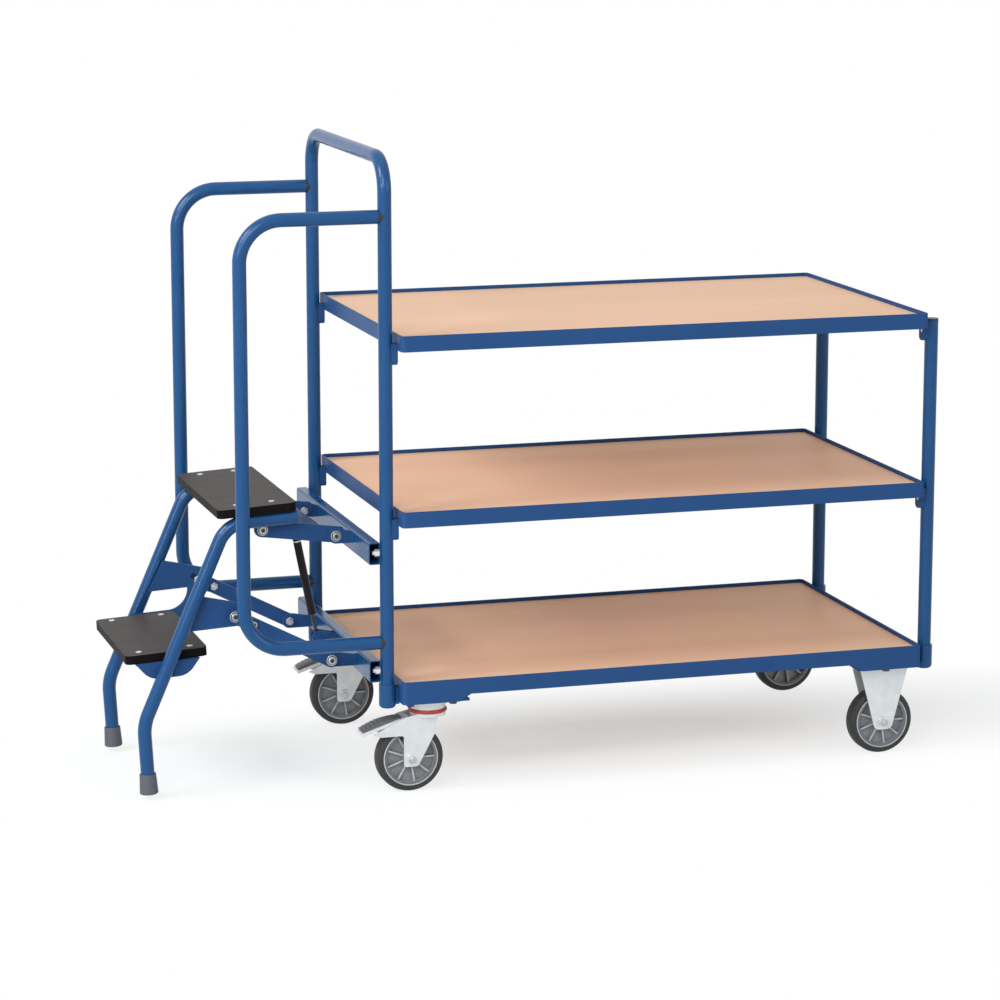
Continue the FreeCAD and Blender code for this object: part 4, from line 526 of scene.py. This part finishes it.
def soften(piece, width):
    """Rounded plate edges."""
    weld = piece.modifiers.new("join", "WELD")
    weld.merge_threshold = JOIN_WITHIN
    flat = piece.modifiers.new("flatten", "DECIMATE")
    flat.decimate_type = "DISSOLVE"
    flat.angle_limit = FLAT_WITHIN
    bevel = piece.modifiers.new("rounding", "BEVEL")
    bevel.width = width
    bevel.segments = 2 if width < WIDE_ROUNDING else 5
    bevel.limit_method = "ANGLE"
    bevel.angle_limit = ROUND_ABOVE
    bevel.use_clamp_overlap = True
    shade = piece.modifiers.new("shading", "WEIGHTED_NORMAL")
    shade.keep_sharp = False


def islands(node):
    """Lowest and highest corner of each loose solid of a CAD node."""
    mesh = frame["nodes"][node].data
    keys = [tuple(round(value, 5) for value in vertex.co) for vertex in mesh.vertices]
    parent = {key: key for key in keys}

    def root(key):
        while parent[key] != key:
            parent[key] = parent[parent[key]]
            key = parent[key]
        return key

    for polygon in mesh.polygons:
        corners = [keys[index] for index in polygon.vertices]
        for corner in corners[1:]:
            parent[root(corner)] = root(corners[0])
    solids = {}
    for key in parent:
        solids.setdefault(root(key), []).append(key)
    boxes = []
    for corners in solids.values():
        low = Vector([min(corner[axis] for corner in corners) for axis in range(3)])
        high = Vector([max(corner[axis] for corner in corners) for axis in range(3)])
        boxes.append((low, high))
    return sorted(boxes, key=lambda box: tuple(box[0]))


def piece_from(name, mesh_maker, finish_name, body, second=None):
    """New piece from a bmesh, on its body. Faces of the second material index take the second finish."""
    bm = bmesh.new()
    mesh_maker(bm)
    bmesh.ops.recalc_face_normals(bm, faces=bm.faces)
    mesh = bpy.data.meshes.new(name)
    bm.to_mesh(mesh)
    bm.free()
    mesh.shade_smooth()
    mesh.set_sharp_from_angle(angle=SMOOTH_BELOW)
    piece = bpy.data.objects.new(name, mesh)
    bpy.context.scene.collection.objects.link(piece)
    for used in filter(None, (finish_name, second)):
        mesh.materials.append(finishes()[used])
    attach(piece, body)
    return piece


def facing(direction):
    """Rotation that turns local Z into a direction."""
    return Vector(direction).to_track_quat("Z", "Y").to_matrix().to_4x4()


def hex_reach(angle, flat):
    """Distance to the side of a hexagon at an angle."""
    turn = (angle + math.pi / 6) % (math.pi / 3) - math.pi / 6
    return flat / math.cos(turn)


def turn_rings(bm, rings, place, closed=False, steps=48, second=()):
    """Skin over rings of (radius, height, six-sided) along local Z, some bands in the second finish."""
    loops = []
    for radius, height, six in rings:
        loop = []
        for step in range(steps):
            angle = 2 * math.pi * step / steps
            reach = hex_reach(angle, radius) if six else radius
            point = Vector((reach * math.cos(angle), reach * math.sin(angle), height))
            loop.append(bm.verts.new(place @ point))
        loops.append(loop)
    pairs = list(zip(loops, loops[1:]))
    if closed:
        pairs.append((loops[-1], loops[0]))
    for band, (lower, upper) in enumerate(pairs):
        for step in range(steps):
            ahead = (step + 1) % steps
            face = bm.faces.new((lower[step], lower[ahead], upper[ahead], upper[step]))
            face.material_index = int(band in second)
    if not closed:
        bm.faces.new(loops[0][::-1])
        bm.faces.new(loops[-1]).material_index = int(len(pairs) in second)


def socket_bolt(bm, inner, outer, head, tail):
    """Bolt from nut to head: thread end, nut, shank, washer, round head with a six-sided socket. The groove and
    socket take the second finish as painted shade.
    """
    span = (outer - inner).length
    nut, shank, flat = 0.69 * head, 0.48 * head, 4.0 * MM
    seat = span - flat
    rings = [(0.85 * shank, -tail, False), (shank, 0.6 * MM - tail, False), (shank, 0.0, False),
             (0.9 * nut, 0.0, True), (nut, 0.6 * MM, True), (nut, flat, True),
             (shank, flat, False), (shank, seat, False),
             (head, seat, False), (head, seat + 1.2 * MM, False), (0.96 * head, seat + 1.5 * MM, False),
             (0.86 * head, seat + 1.5 * MM, False), (0.85 * head, seat + 0.5 * MM, False),
             (0.74 * head, seat + 0.5 * MM, False), (0.73 * head, span - 0.7 * MM, False),
             (0.65 * head, span, False), (0.40 * head, span, False), (0.37 * head, span, True),
             (0.35 * head, span - 2.8 * MM, True)]
    # The groove and socket bands are painted shade, in the second finish
    groove, socket = (11, 12, 13), (17, 18)
    turn_rings(bm, rings, Matrix.Translation(inner) @ facing(outer - inner), second=groove + socket)


def hex_head(bm, point, direction, radius, height):
    """Washer and six-sided head, seated on a face."""
    r = radius
    rings = [(1.12 * r, -0.3 * MM, False), (1.12 * r, 0.8 * MM, False), (1.06 * r, 1.0 * MM, False),
             (0.80 * r, 1.0 * MM, True), (0.80 * r, 0.84 * height, True), (0.70 * r, height, True),
             (0.52 * r, height, False), (0.44 * r, height + 0.5 * MM, False)]
    turn_rings(bm, rings, Matrix.Translation(point) @ facing(direction))


def torus_ring(bm, centre, axis, radius, thick):
    """Round bead around an axis."""
    rings = []
    for step in range(BEAD_SIDES):
        angle = 2 * math.pi * step / BEAD_SIDES
        rings.append((radius + thick * math.cos(angle), thick * math.sin(angle), False))
    turn_rings(bm, rings, Matrix.Translation(centre) @ facing(axis), closed=True, steps=72)


def bead_line(bm, start, end, radius):
    """Weld bead from one point to another, in laid drops."""
    run = (end - start).length
    drops = max(6, int(run / (1.4 * radius)))
    rings = [(0.35 * radius, 0.0, False)]
    for drop in range(drops):
        for part, swell in ((0.3, 0.86), (0.7, 1.0), (0.98, 0.8)):
            rings.append((swell * radius, run * (drop + part) / drops, False))
    rings.append((0.35 * radius, run, False))
    turn_rings(bm, rings, Matrix.Translation(start) @ facing(end - start), steps=12)


def pedal_line(side):
    """Tip and heel of a pedal's upper face, on its middle line."""
    low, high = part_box("brake_pedal_" + side)
    pivot = JOINT_AT["brake_press_" + side]
    middle = (low.y + high.y) / 2
    tip = Vector((low.x, middle, low.z + PEDAL_TIP_RISE))
    heel = Vector((pivot.x, middle, high.z - PEDAL_HEEL_DROP))
    return tip, heel


def step_up():
    """Upward direction of the leaning steps."""
    return Matrix.Rotation(STEP_LEAN, 3, "Y") @ Vector((0, 0, 1))


# Operators

class TROLLEY_OT_stage(bpy.types.Operator):
    """Floor, surround, lamps and the camera at the photograph's place"""
    bl_idname = "trolley.stage"
    bl_label = "Stage"

    def execute(self, context):
        settings = context.scene.trolley_stage
        context.scene.view_settings.view_transform = "Standard"
        self.camera(context, settings)
        self.surround(context, settings)
        self.floor(context, settings)
        for name, (place, size) in LAMPS.items():
            self.lamp(context, name + "_light", place, size, getattr(settings, name))
        return {"FINISHED"}

    def camera(self, context, settings):
        """Camera at the front left, a little above the trolley."""
        data = bpy.data.cameras.new("photo_camera")
        data.lens = settings.lens
        data.sensor_width = CAMERA_FRAME
        data.clip_end = SIGHT_END
        camera = bpy.data.objects.new("photo_camera", data)
        flat = math.cos(CAMERA_ABOVE)
        back = Vector((math.sin(CAMERA_AROUND) * flat, -math.cos(CAMERA_AROUND) * flat, math.sin(CAMERA_ABOVE)))
        camera.matrix_world = Matrix.Translation(CAMERA_PLACE) @ facing(back)
        context.scene.collection.objects.link(camera)
        context.scene.camera = camera

    def surround(self, context, settings):
        """Surround that is seen white and lights the trolley less."""
        world = bpy.data.worlds.new("white_surround")
        context.scene.world = world
        world.use_nodes = True
        tree = world.node_tree
        backdrop = tree.nodes["Background"]
        backdrop.inputs["Color"].default_value = (1.0, 1.0, 1.0, 1.0)
        rays = add(tree, "ShaderNodeLightPath", -700, 0)
        seen = self.seen(tree, rays)
        level = remap(tree, seen, -260, 0, 0.0, 1.0, settings.sky, 1.0)
        tree.links.new(level, backdrop.inputs["Strength"])

    def seen(self, tree, rays):
        """Camera, glossy and transmission rays together."""
        glossy = add(tree, "ShaderNodeMath", -520, 0, operation="MAXIMUM")
        tree.links.new(rays.outputs["Is Camera Ray"], glossy.inputs[0])
        tree.links.new(rays.outputs["Is Glossy Ray"], glossy.inputs[1])
        clear = add(tree, "ShaderNodeMath", -400, 0, operation="MAXIMUM")
        tree.links.new(glossy.outputs["Value"], clear.inputs[0])
        tree.links.new(rays.outputs["Is Transmission Ray"], clear.inputs[1])
        return clear.outputs["Value"]

    def floor(self, context, settings):
        """Pale floor that keeps the shadow under the trolley and is white farther out."""
        mesh = bpy.data.meshes.new("pale_floor")
        corners = [(x * FLOOR_REACH, y * FLOOR_REACH, 0) for x, y in ((-1, -1), (1, -1), (1, 1), (-1, 1))]
        mesh.from_pydata(corners, [], [(0, 1, 2, 3)])
        floor = bpy.data.objects.new("pale_floor", mesh)
        context.scene.collection.objects.link(floor)
        made, tree, shader = base_material("pale_floor", Base_Color=FLOOR_TONE, Roughness=0.9,
                                           Specular_IOR_Level=0.0)
        output = tree.nodes["Material Output"]
        glow = add(tree, "ShaderNodeEmission", -200, -420)
        rays = add(tree, "ShaderNodeLightPath", -800, 300)
        distance = add(tree, "ShaderNodeVectorMath", -620, 620, operation="LENGTH")
        stretch = (1 / settings.shadow_length, 1 / settings.shadow_width, 1.0)
        middle = (-SHADOW_CENTRE[0] * stretch[0], -SHADOW_CENTRE[1] * stretch[1], 0.0)
        tree.links.new(scaled_place(tree, -1000, 620, stretch, middle), distance.inputs[0])
        white = remap(tree, distance.outputs["Value"], -440, 620, SHADOW_CORE, 1.0, settings.floor_glow, 1.0)
        white_seen = multiply(tree, self.seen(tree, rays), white, -200, 300)
        blend = add(tree, "ShaderNodeMixShader", 300, 200)
        tree.links.new(white_seen, blend.inputs["Fac"])
        tree.links.new(shader.outputs["BSDF"], blend.inputs[1])
        tree.links.new(glow.outputs["Emission"], blend.inputs[2])
        tree.links.new(blend.outputs["Shader"], output.inputs["Surface"])
        mesh.materials.append(made)

    def lamp(self, context, name, place, size, power):
        """Round area lamp that looks at the trolley."""
        data = bpy.data.lights.new(name, "AREA")
        data.shape = "DISK"
        data.size = size
        data.energy = power
        lamp = bpy.data.objects.new(name, data)
        lamp.matrix_world = Matrix.Translation(place) @ facing(Vector(place) - LAMP_AIM)
        context.scene.collection.objects.link(lamp)


class TROLLEY_OT_frame(bpy.types.Operator):
    """Blue tube and sheet steel of the trolley and its stair, with weld beads"""
    bl_idname = "trolley.frame"
    bl_label = "Painted frame"

    def execute(self, context):
        detail = context.scene.trolley_detail
        dress(("handle_hoop", "right_uprights", "upright_sockets", "guard_rail_near", "guard_rail_far",
               "step_leg_near", "step_leg_far"), "blue")
        dress(("upper_cross_tube", "lower_cross_tube"), "blue", detail.edge_round)
        dress(("top_shelf_frame", "middle_shelf_frame", "lower_shelf_frame", "shelf_hook_brackets",
               "clevis_ears", "gas_spring_foot", "upper_arm", "lower_arm_near", "lower_arm_far",
               "top_step_bracket", "low_step_pan", "step_cheek_near", "step_cheek_far"),
              "blue_sheet", detail.edge_round)
        self.ear_welds(detail.weld)
        self.cheek_welds(detail.weld)
        return {"FINISHED"}

    def ear_welds(self, radius):
        """Beads where the ears stand on the cross tubes."""
        def beads(bm):
            for low, high in islands("clevis_ears") + islands("gas_spring_foot"):
                if high.x - low.x < EAR_LEAST_LENGTH:
                    continue
                top = low.z + EAR_WELD_SHARE * (high.z - low.z)
                for y in (low.y, high.y):
                    bead_line(bm, Vector((high.x, y, low.z)), Vector((high.x, y, top)), radius)
        piece_from("ear_weld_beads", beads, "blue", "trolley")

    def cheek_welds(self, radius):
        """Beads where the cheek plates lie along the legs."""
        def beads(bm):
            for side, sign in SIDES:
                low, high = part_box("step_cheek_" + side)
                y = low.y if sign < 0 else high.y
                start = Vector((low.x, y, low.z)) + CHEEK_WELD_FROM
                bead_line(bm, start, start + CHEEK_WELD_LENGTH * CHEEK_WELD_WAY, radius)
        piece_from("cheek_weld_beads", beads, "blue", "step_unit")


class TROLLEY_OT_boards(bpy.types.Operator):
    """Beech shelf boards"""
    bl_idname = "trolley.boards"
    bl_label = "Shelf boards"

    def execute(self, context):
        detail = context.scene.trolley_detail
        dress(("top_shelf_board", "middle_shelf_board", "lower_shelf_board"), "beech", detail.edge_round)
        return {"FINISHED"}


class TROLLEY_OT_steps(bpy.types.Operator):
    """Dark step boards, their screws and the rubber feet"""
    bl_idname = "trolley.steps"
    bl_label = "Steps"

    def execute(self, context):
        detail = context.scene.trolley_detail
        dress(("top_step_board", "low_step_board"), "step_board", detail.board_round)
        dress(("step_screws",), "zinc")
        dress(("foot_caps",), "foot_rubber", detail.foot_round)
        piece_from("step_screw_tops", self.screw_tops, "zinc", "step_unit")
        return {"FINISHED"}

    def screw_tops(self, bm):
        """Low domes with a six-sided recess on the board screws."""
        up = step_up()
        for low, high in islands("step_screws"):
            r = (high.y - low.y) / 2
            centre = (low + high) / 2
            point = centre + up * ((high.z - centre.z) / up.z - 0.35 * MM)
            rings = [(0.98 * r, -0.3 * MM, False), (0.98 * r, 0.1 * MM, False), (0.8 * r, 0.45 * MM, False),
                     (0.5 * r, 0.55 * MM, False), (0.4 * r, 0.5 * MM, True), (0.36 * r, -0.2 * MM, True)]
            turn_rings(bm, rings, Matrix.Translation(point) @ facing(up), steps=36)


class TROLLEY_OT_casters(bpy.types.Operator):
    """Wheels, forks, seals and brake pedals"""
    bl_idname = "trolley.casters"
    bl_label = "Casters"

    def execute(self, context):
        detail = context.scene.trolley_detail
        kinds = [(kind, side) for kind in ("swivel", "fixed") for side, _ in SIDES]
        dress(["tyre_%s_%s" % pair for pair in kinds], "tyre")
        dress(["wheel_centre_%s_%s" % pair for pair in kinds], "wheel_grey", 0.5 * detail.edge_round)
        dress(("swivel_fork_near", "swivel_fork_far", "fixed_forks", "swivel_tops"), "zinc", detail.edge_round)
        dress(("swivel_axle_near", "swivel_axle_far", "fixed_axles"), "zinc")
        dress(("caster_plate_bolts",), "bolt_black")
        dress(("caster_seal_rings",), "red_seal", detail.edge_round)
        dress(("brake_pedal_near", "brake_pedal_far"), "zinc", detail.edge_round)
        lips = piece_from("caster_seal_lips", self.seal_lips, "red_seal", "trolley")
        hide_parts("caster_seal_rings")
        for kind, side in kinds:
            self.bead(kind, side, detail.bead)
        for side, _ in SIDES:
            piece_from("pedal_pad_" + side, lambda bm: self.pad(bm, side, detail),
                       "pad", "brake_" + side)
            piece_from("axle_ends_swivel_" + side, lambda bm: self.axle_ends(bm, "swivel_axle_" + side),
                       "steel", "swivel_" + side)
        piece_from("axle_ends_fixed", lambda bm: self.axle_ends(bm, "fixed_axles"), "steel", "trolley")
        return {"FINISHED"}

    def seal_lips(self, bm):
        """Soft red lip around the lower end of each bearing race."""
        for low, high in islands("caster_seal_rings"):
            radius = (high.x - low.x) / 2
            inside = radius - 2.1 * MM
            profile = [(inside, 0.0), (radius - 0.8 * MM, 0.0), (radius, 0.9 * MM), (radius, 3.4 * MM),
                       (radius - 0.6 * MM, 5.2 * MM), (inside + 0.4 * MM, 6.4 * MM), (inside, 6.4 * MM)]
            place = Matrix.Translation(((low.x + high.x) / 2, (low.y + high.y) / 2, low.z))
            turn_rings(bm, [(r, height, False) for r, height in profile], place, closed=True, steps=72)

    def axle_ends(self, bm, node):
        """Six-sided heads and nuts on the axle ends."""
        for low, high in islands(node):
            centre = (low + high) / 2
            radius = (high.z - low.z) / 2
            for end, sign in ((low.y, -1), (high.y, 1)):
                hex_head(bm, Vector((centre.x, end, centre.z)), (0, sign, 0), AXLE_HEAD_SHARE * radius,
                         AXLE_HEAD_HEIGHT)

    def pad(self, bm, side, detail):
        """Curved tread pad with ridges on a brake pedal."""
        tip, heel = pedal_line(side)
        across = Vector((0, 0.5 * PEDAL_WIDTH - PAD_MARGIN, 0))
        along = heel - tip
        up = along.cross(Vector((0, 1, 0))).normalized()
        if up.z < 0:
            up = -up
        steps = 8 * detail.ridges + 8
        profile = []
        for step in range(steps + 1):
            run = PAD_START + PAD_SPAN * step / steps
            rise = PAD_THICK + detail.pad_arch * math.sin(math.pi * run)
            if run < PAD_RIDGED:
                rise += detail.ridge * max(0.0, math.sin(2 * math.pi * detail.ridges * run / PAD_RIDGED))
            profile.append((tip + run * along, rise))
        rows = []
        for point, rise in profile:
            outline = ((-1, -PAD_SINK), (-1, rise - PAD_EDGE), (-0.93, rise),
                       (0.93, rise), (1, rise - PAD_EDGE), (1, -PAD_SINK))
            rows.append([bm.verts.new(point + sign * across + up * height) for sign, height in outline])
        for first, second in zip(rows, rows[1:]):
            for index in range(len(first)):
                ahead = (index + 1) % len(first)
                bm.faces.new((first[index], first[ahead], second[ahead], second[index]))
        bm.faces.new(rows[0][::-1])
        bm.faces.new(rows[-1])

    def bead(self, kind, side, thick):
        """Pale line on both faces of a wheel, where tyre and centre meet."""
        low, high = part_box("wheel_centre_%s_%s" % (kind, side))
        tyre_low, tyre_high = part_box("tyre_%s_%s" % (kind, side))
        centre = (low + high) / 2
        radius = (high.z - low.z) / 2
        for face, end in (("left", tyre_low.y), ("right", tyre_high.y)):
            point = Vector((centre.x, end, centre.z))
            piece_from("wheel_bead_%s_%s_%s" % (kind, side, face),
                       lambda bm: torus_ring(bm, point, (0, 1, 0), radius, thick),
                       "bead", "%s_wheel_%s" % (kind, side))


class TROLLEY_OT_lift(bpy.types.Operator):
    """Gas spring with its rings, guard rail saddles and upright plugs"""
    bl_idname = "trolley.lift"
    bl_label = "Step lift"

    def execute(self, context):
        detail = context.scene.trolley_detail
        dress(("gas_spring_cylinder",), "gas_black")
        dress(("gas_spring_rod",), "dark_rod")
        dress(("gas_spring_top_pin",), "zinc")
        dress(("guard_rail_saddles", "upright_plugs"), "black_plastic", detail.edge_round)
        piece_from("gas_spring_collars", self.collars, "gas_black", "gas_cylinder")
        piece_from("gas_spring_neck", self.neck, "zinc", "gas_cylinder")
        return {"FINISHED"}

    def collars(self, bm):
        """Rolled lip and groove ring at the mouth of the cylinder, and a ring near its upper end."""
        foot = JOINT_AT["gas_rod_turn"]
        low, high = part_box("gas_spring_cylinder")
        radius = (high.y - low.y) / 2
        mouth = (low.z + radius * abs(GAS_AXIS.x) - foot.z) / GAS_AXIS.z
        top = (high.z - foot.z) / GAS_AXIS.z
        lip, groove = (mouth + 1.5 * MM, 1.2 * MM), (mouth + 9.0 * MM, 0.8 * MM)
        upper = (top - 24.0 * MM, 0.9 * MM)
        for distance, thick in (lip, groove, upper):
            torus_ring(bm, foot + distance * GAS_AXIS, GAS_AXIS, radius - 0.2 * MM, thick)

    def neck(self, bm):
        """Bright ring around the cylinder below the upper arm."""
        low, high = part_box("gas_spring_cylinder")
        radius = (high.y - low.y) / 2
        rings = [(radius - 1.0 * MM, 0.0), (radius + 0.3 * MM, 0.3 * MM), (radius + 0.3 * MM, 2.9 * MM),
                 (radius - 1.0 * MM, 3.2 * MM)]
        place = Matrix.Translation(JOINT_AT["gas_rod_turn"] + NECK_FROM_FOOT * GAS_AXIS) @ facing(GAS_AXIS)
        turn_rings(bm, [(r, height, False) for r, height in rings], place, closed=True)


class TROLLEY_OT_fasteners(bpy.types.Operator):
    """Bolt heads and nuts"""
    bl_idname = "trolley.fasteners"
    bl_label = "Fasteners"

    def execute(self, context):
        dress(("shelf_hook_bolts", "guard_rail_bolts", "cross_tube_bolts", "arm_pivot_bolts",
               "step_pivot_bolts", "lower_arm_rivets"), "zinc")
        for node, body in (("arm_pivot_bolts", "trolley"), ("step_pivot_bolts", "step_unit"),
                           ("lower_arm_rivets", "lower_arms")):
            # The second finish paints shade into the bolt grooves and sockets
            bolts = piece_from(node + "_turned", lambda bm: self.pivots(bm, node),
                               "steel", body, "bolt_black")
            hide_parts(node)
        nuts = piece_from("cross_tube_nuts", self.tube_nuts, "zinc", "trolley")
        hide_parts("cross_tube_bolts")
        return {"FINISHED"}

    def pivots(self, bm, node):
        """Pivot bolts with their heads outside and their nuts inside."""
        for low, high in islands(node):
            centre = (low + high) / 2
            near = centre.y < 0
            outer, inner = (low.y, high.y) if near else (high.y, low.y)
            long_thread = node == "arm_pivot_bolts" and not near
            socket_bolt(bm, Vector((centre.x, inner, centre.z)), Vector((centre.x, outer, centre.z)),
                        (high.z - low.z) / 2, LONG_THREAD if long_thread else SHORT_THREAD)

    def tube_nuts(self, bm):
        """Bolts in the cross tube ends, each with a six-sided nut and a thread end."""
        for low, high in islands("cross_tube_bolts"):
            centre = (low + high) / 2
            place = Matrix.Translation((high.x, centre.y, centre.z)) @ facing((-1, 0, 0))
            head = (high.z - low.z) / 2
            shank, seat = 0.57 * head, high.x - low.x - NUT_END
            rings = [(head, 0.0, False), (head, 5.0 * MM, False), (shank, 5.0 * MM, False),
                     (shank, seat, False), (head, seat, False), (head, seat + 1.2 * MM, False),
                     (0.9 * head, seat + 1.2 * MM, True),
                     (0.9 * head, seat + 7.2 * MM, True), (0.8 * head, seat + 8.0 * MM, True),
                     (shank, seat + 8.0 * MM, False), (shank, seat + 11.4 * MM, False),
                     (0.85 * shank, seat + NUT_END, False)]
            turn_rings(bm, rings, place, steps=36)


class TROLLEY_PT_panel(bpy.types.Panel):
    """Trolley pieces in the sidebar"""
    bl_idname = "TROLLEY_PT_panel"
    bl_label = "Trolley"
    bl_space_type = "VIEW_3D"
    bl_region_type = "UI"
    bl_category = "Trolley"

    def draw(self, context):
        """A button for each operator, then the settings."""
        for operator in OPERATORS:
            self.layout.operator(operator.bl_idname)
        for name, kind in SETTINGS.items():
            box = self.layout.box()
            for setting in kind.__annotations__:
                box.prop(getattr(context.scene, name), setting)


OPERATORS = (TROLLEY_OT_stage, TROLLEY_OT_frame, TROLLEY_OT_boards, TROLLEY_OT_steps, TROLLEY_OT_casters,
             TROLLEY_OT_lift, TROLLEY_OT_fasteners)
SETTINGS = {"trolley_finish": TrolleyFinish, "trolley_detail": TrolleyDetail, "trolley_stage": TrolleyStage}


def register():
    """Make the settings, operators and panel known."""
    for name, kind in SETTINGS.items():
        bpy.utils.register_class(kind)
        setattr(bpy.types.Scene, name, bpy.props.PointerProperty(type=kind))
    for kind in OPERATORS + (TROLLEY_PT_panel,):
        bpy.utils.register_class(kind)


def unregister():
    """Take them away again."""
    for kind in (TROLLEY_PT_panel,) + OPERATORS[::-1]:
        bpy.utils.unregister_class(kind)
    for name, kind in SETTINGS.items():
        delattr(bpy.types.Scene, name)
        bpy.utils.unregister_class(kind)


def main():
    """Run every operator."""
    register()
    bpy.ops.trolley.stage()
    bpy.ops.trolley.frame()
    bpy.ops.trolley.boards()
    bpy.ops.trolley.steps()
    bpy.ops.trolley.casters()
    bpy.ops.trolley.lift()
    bpy.ops.trolley.fasteners()


if __name__ == "__main__":
    main()
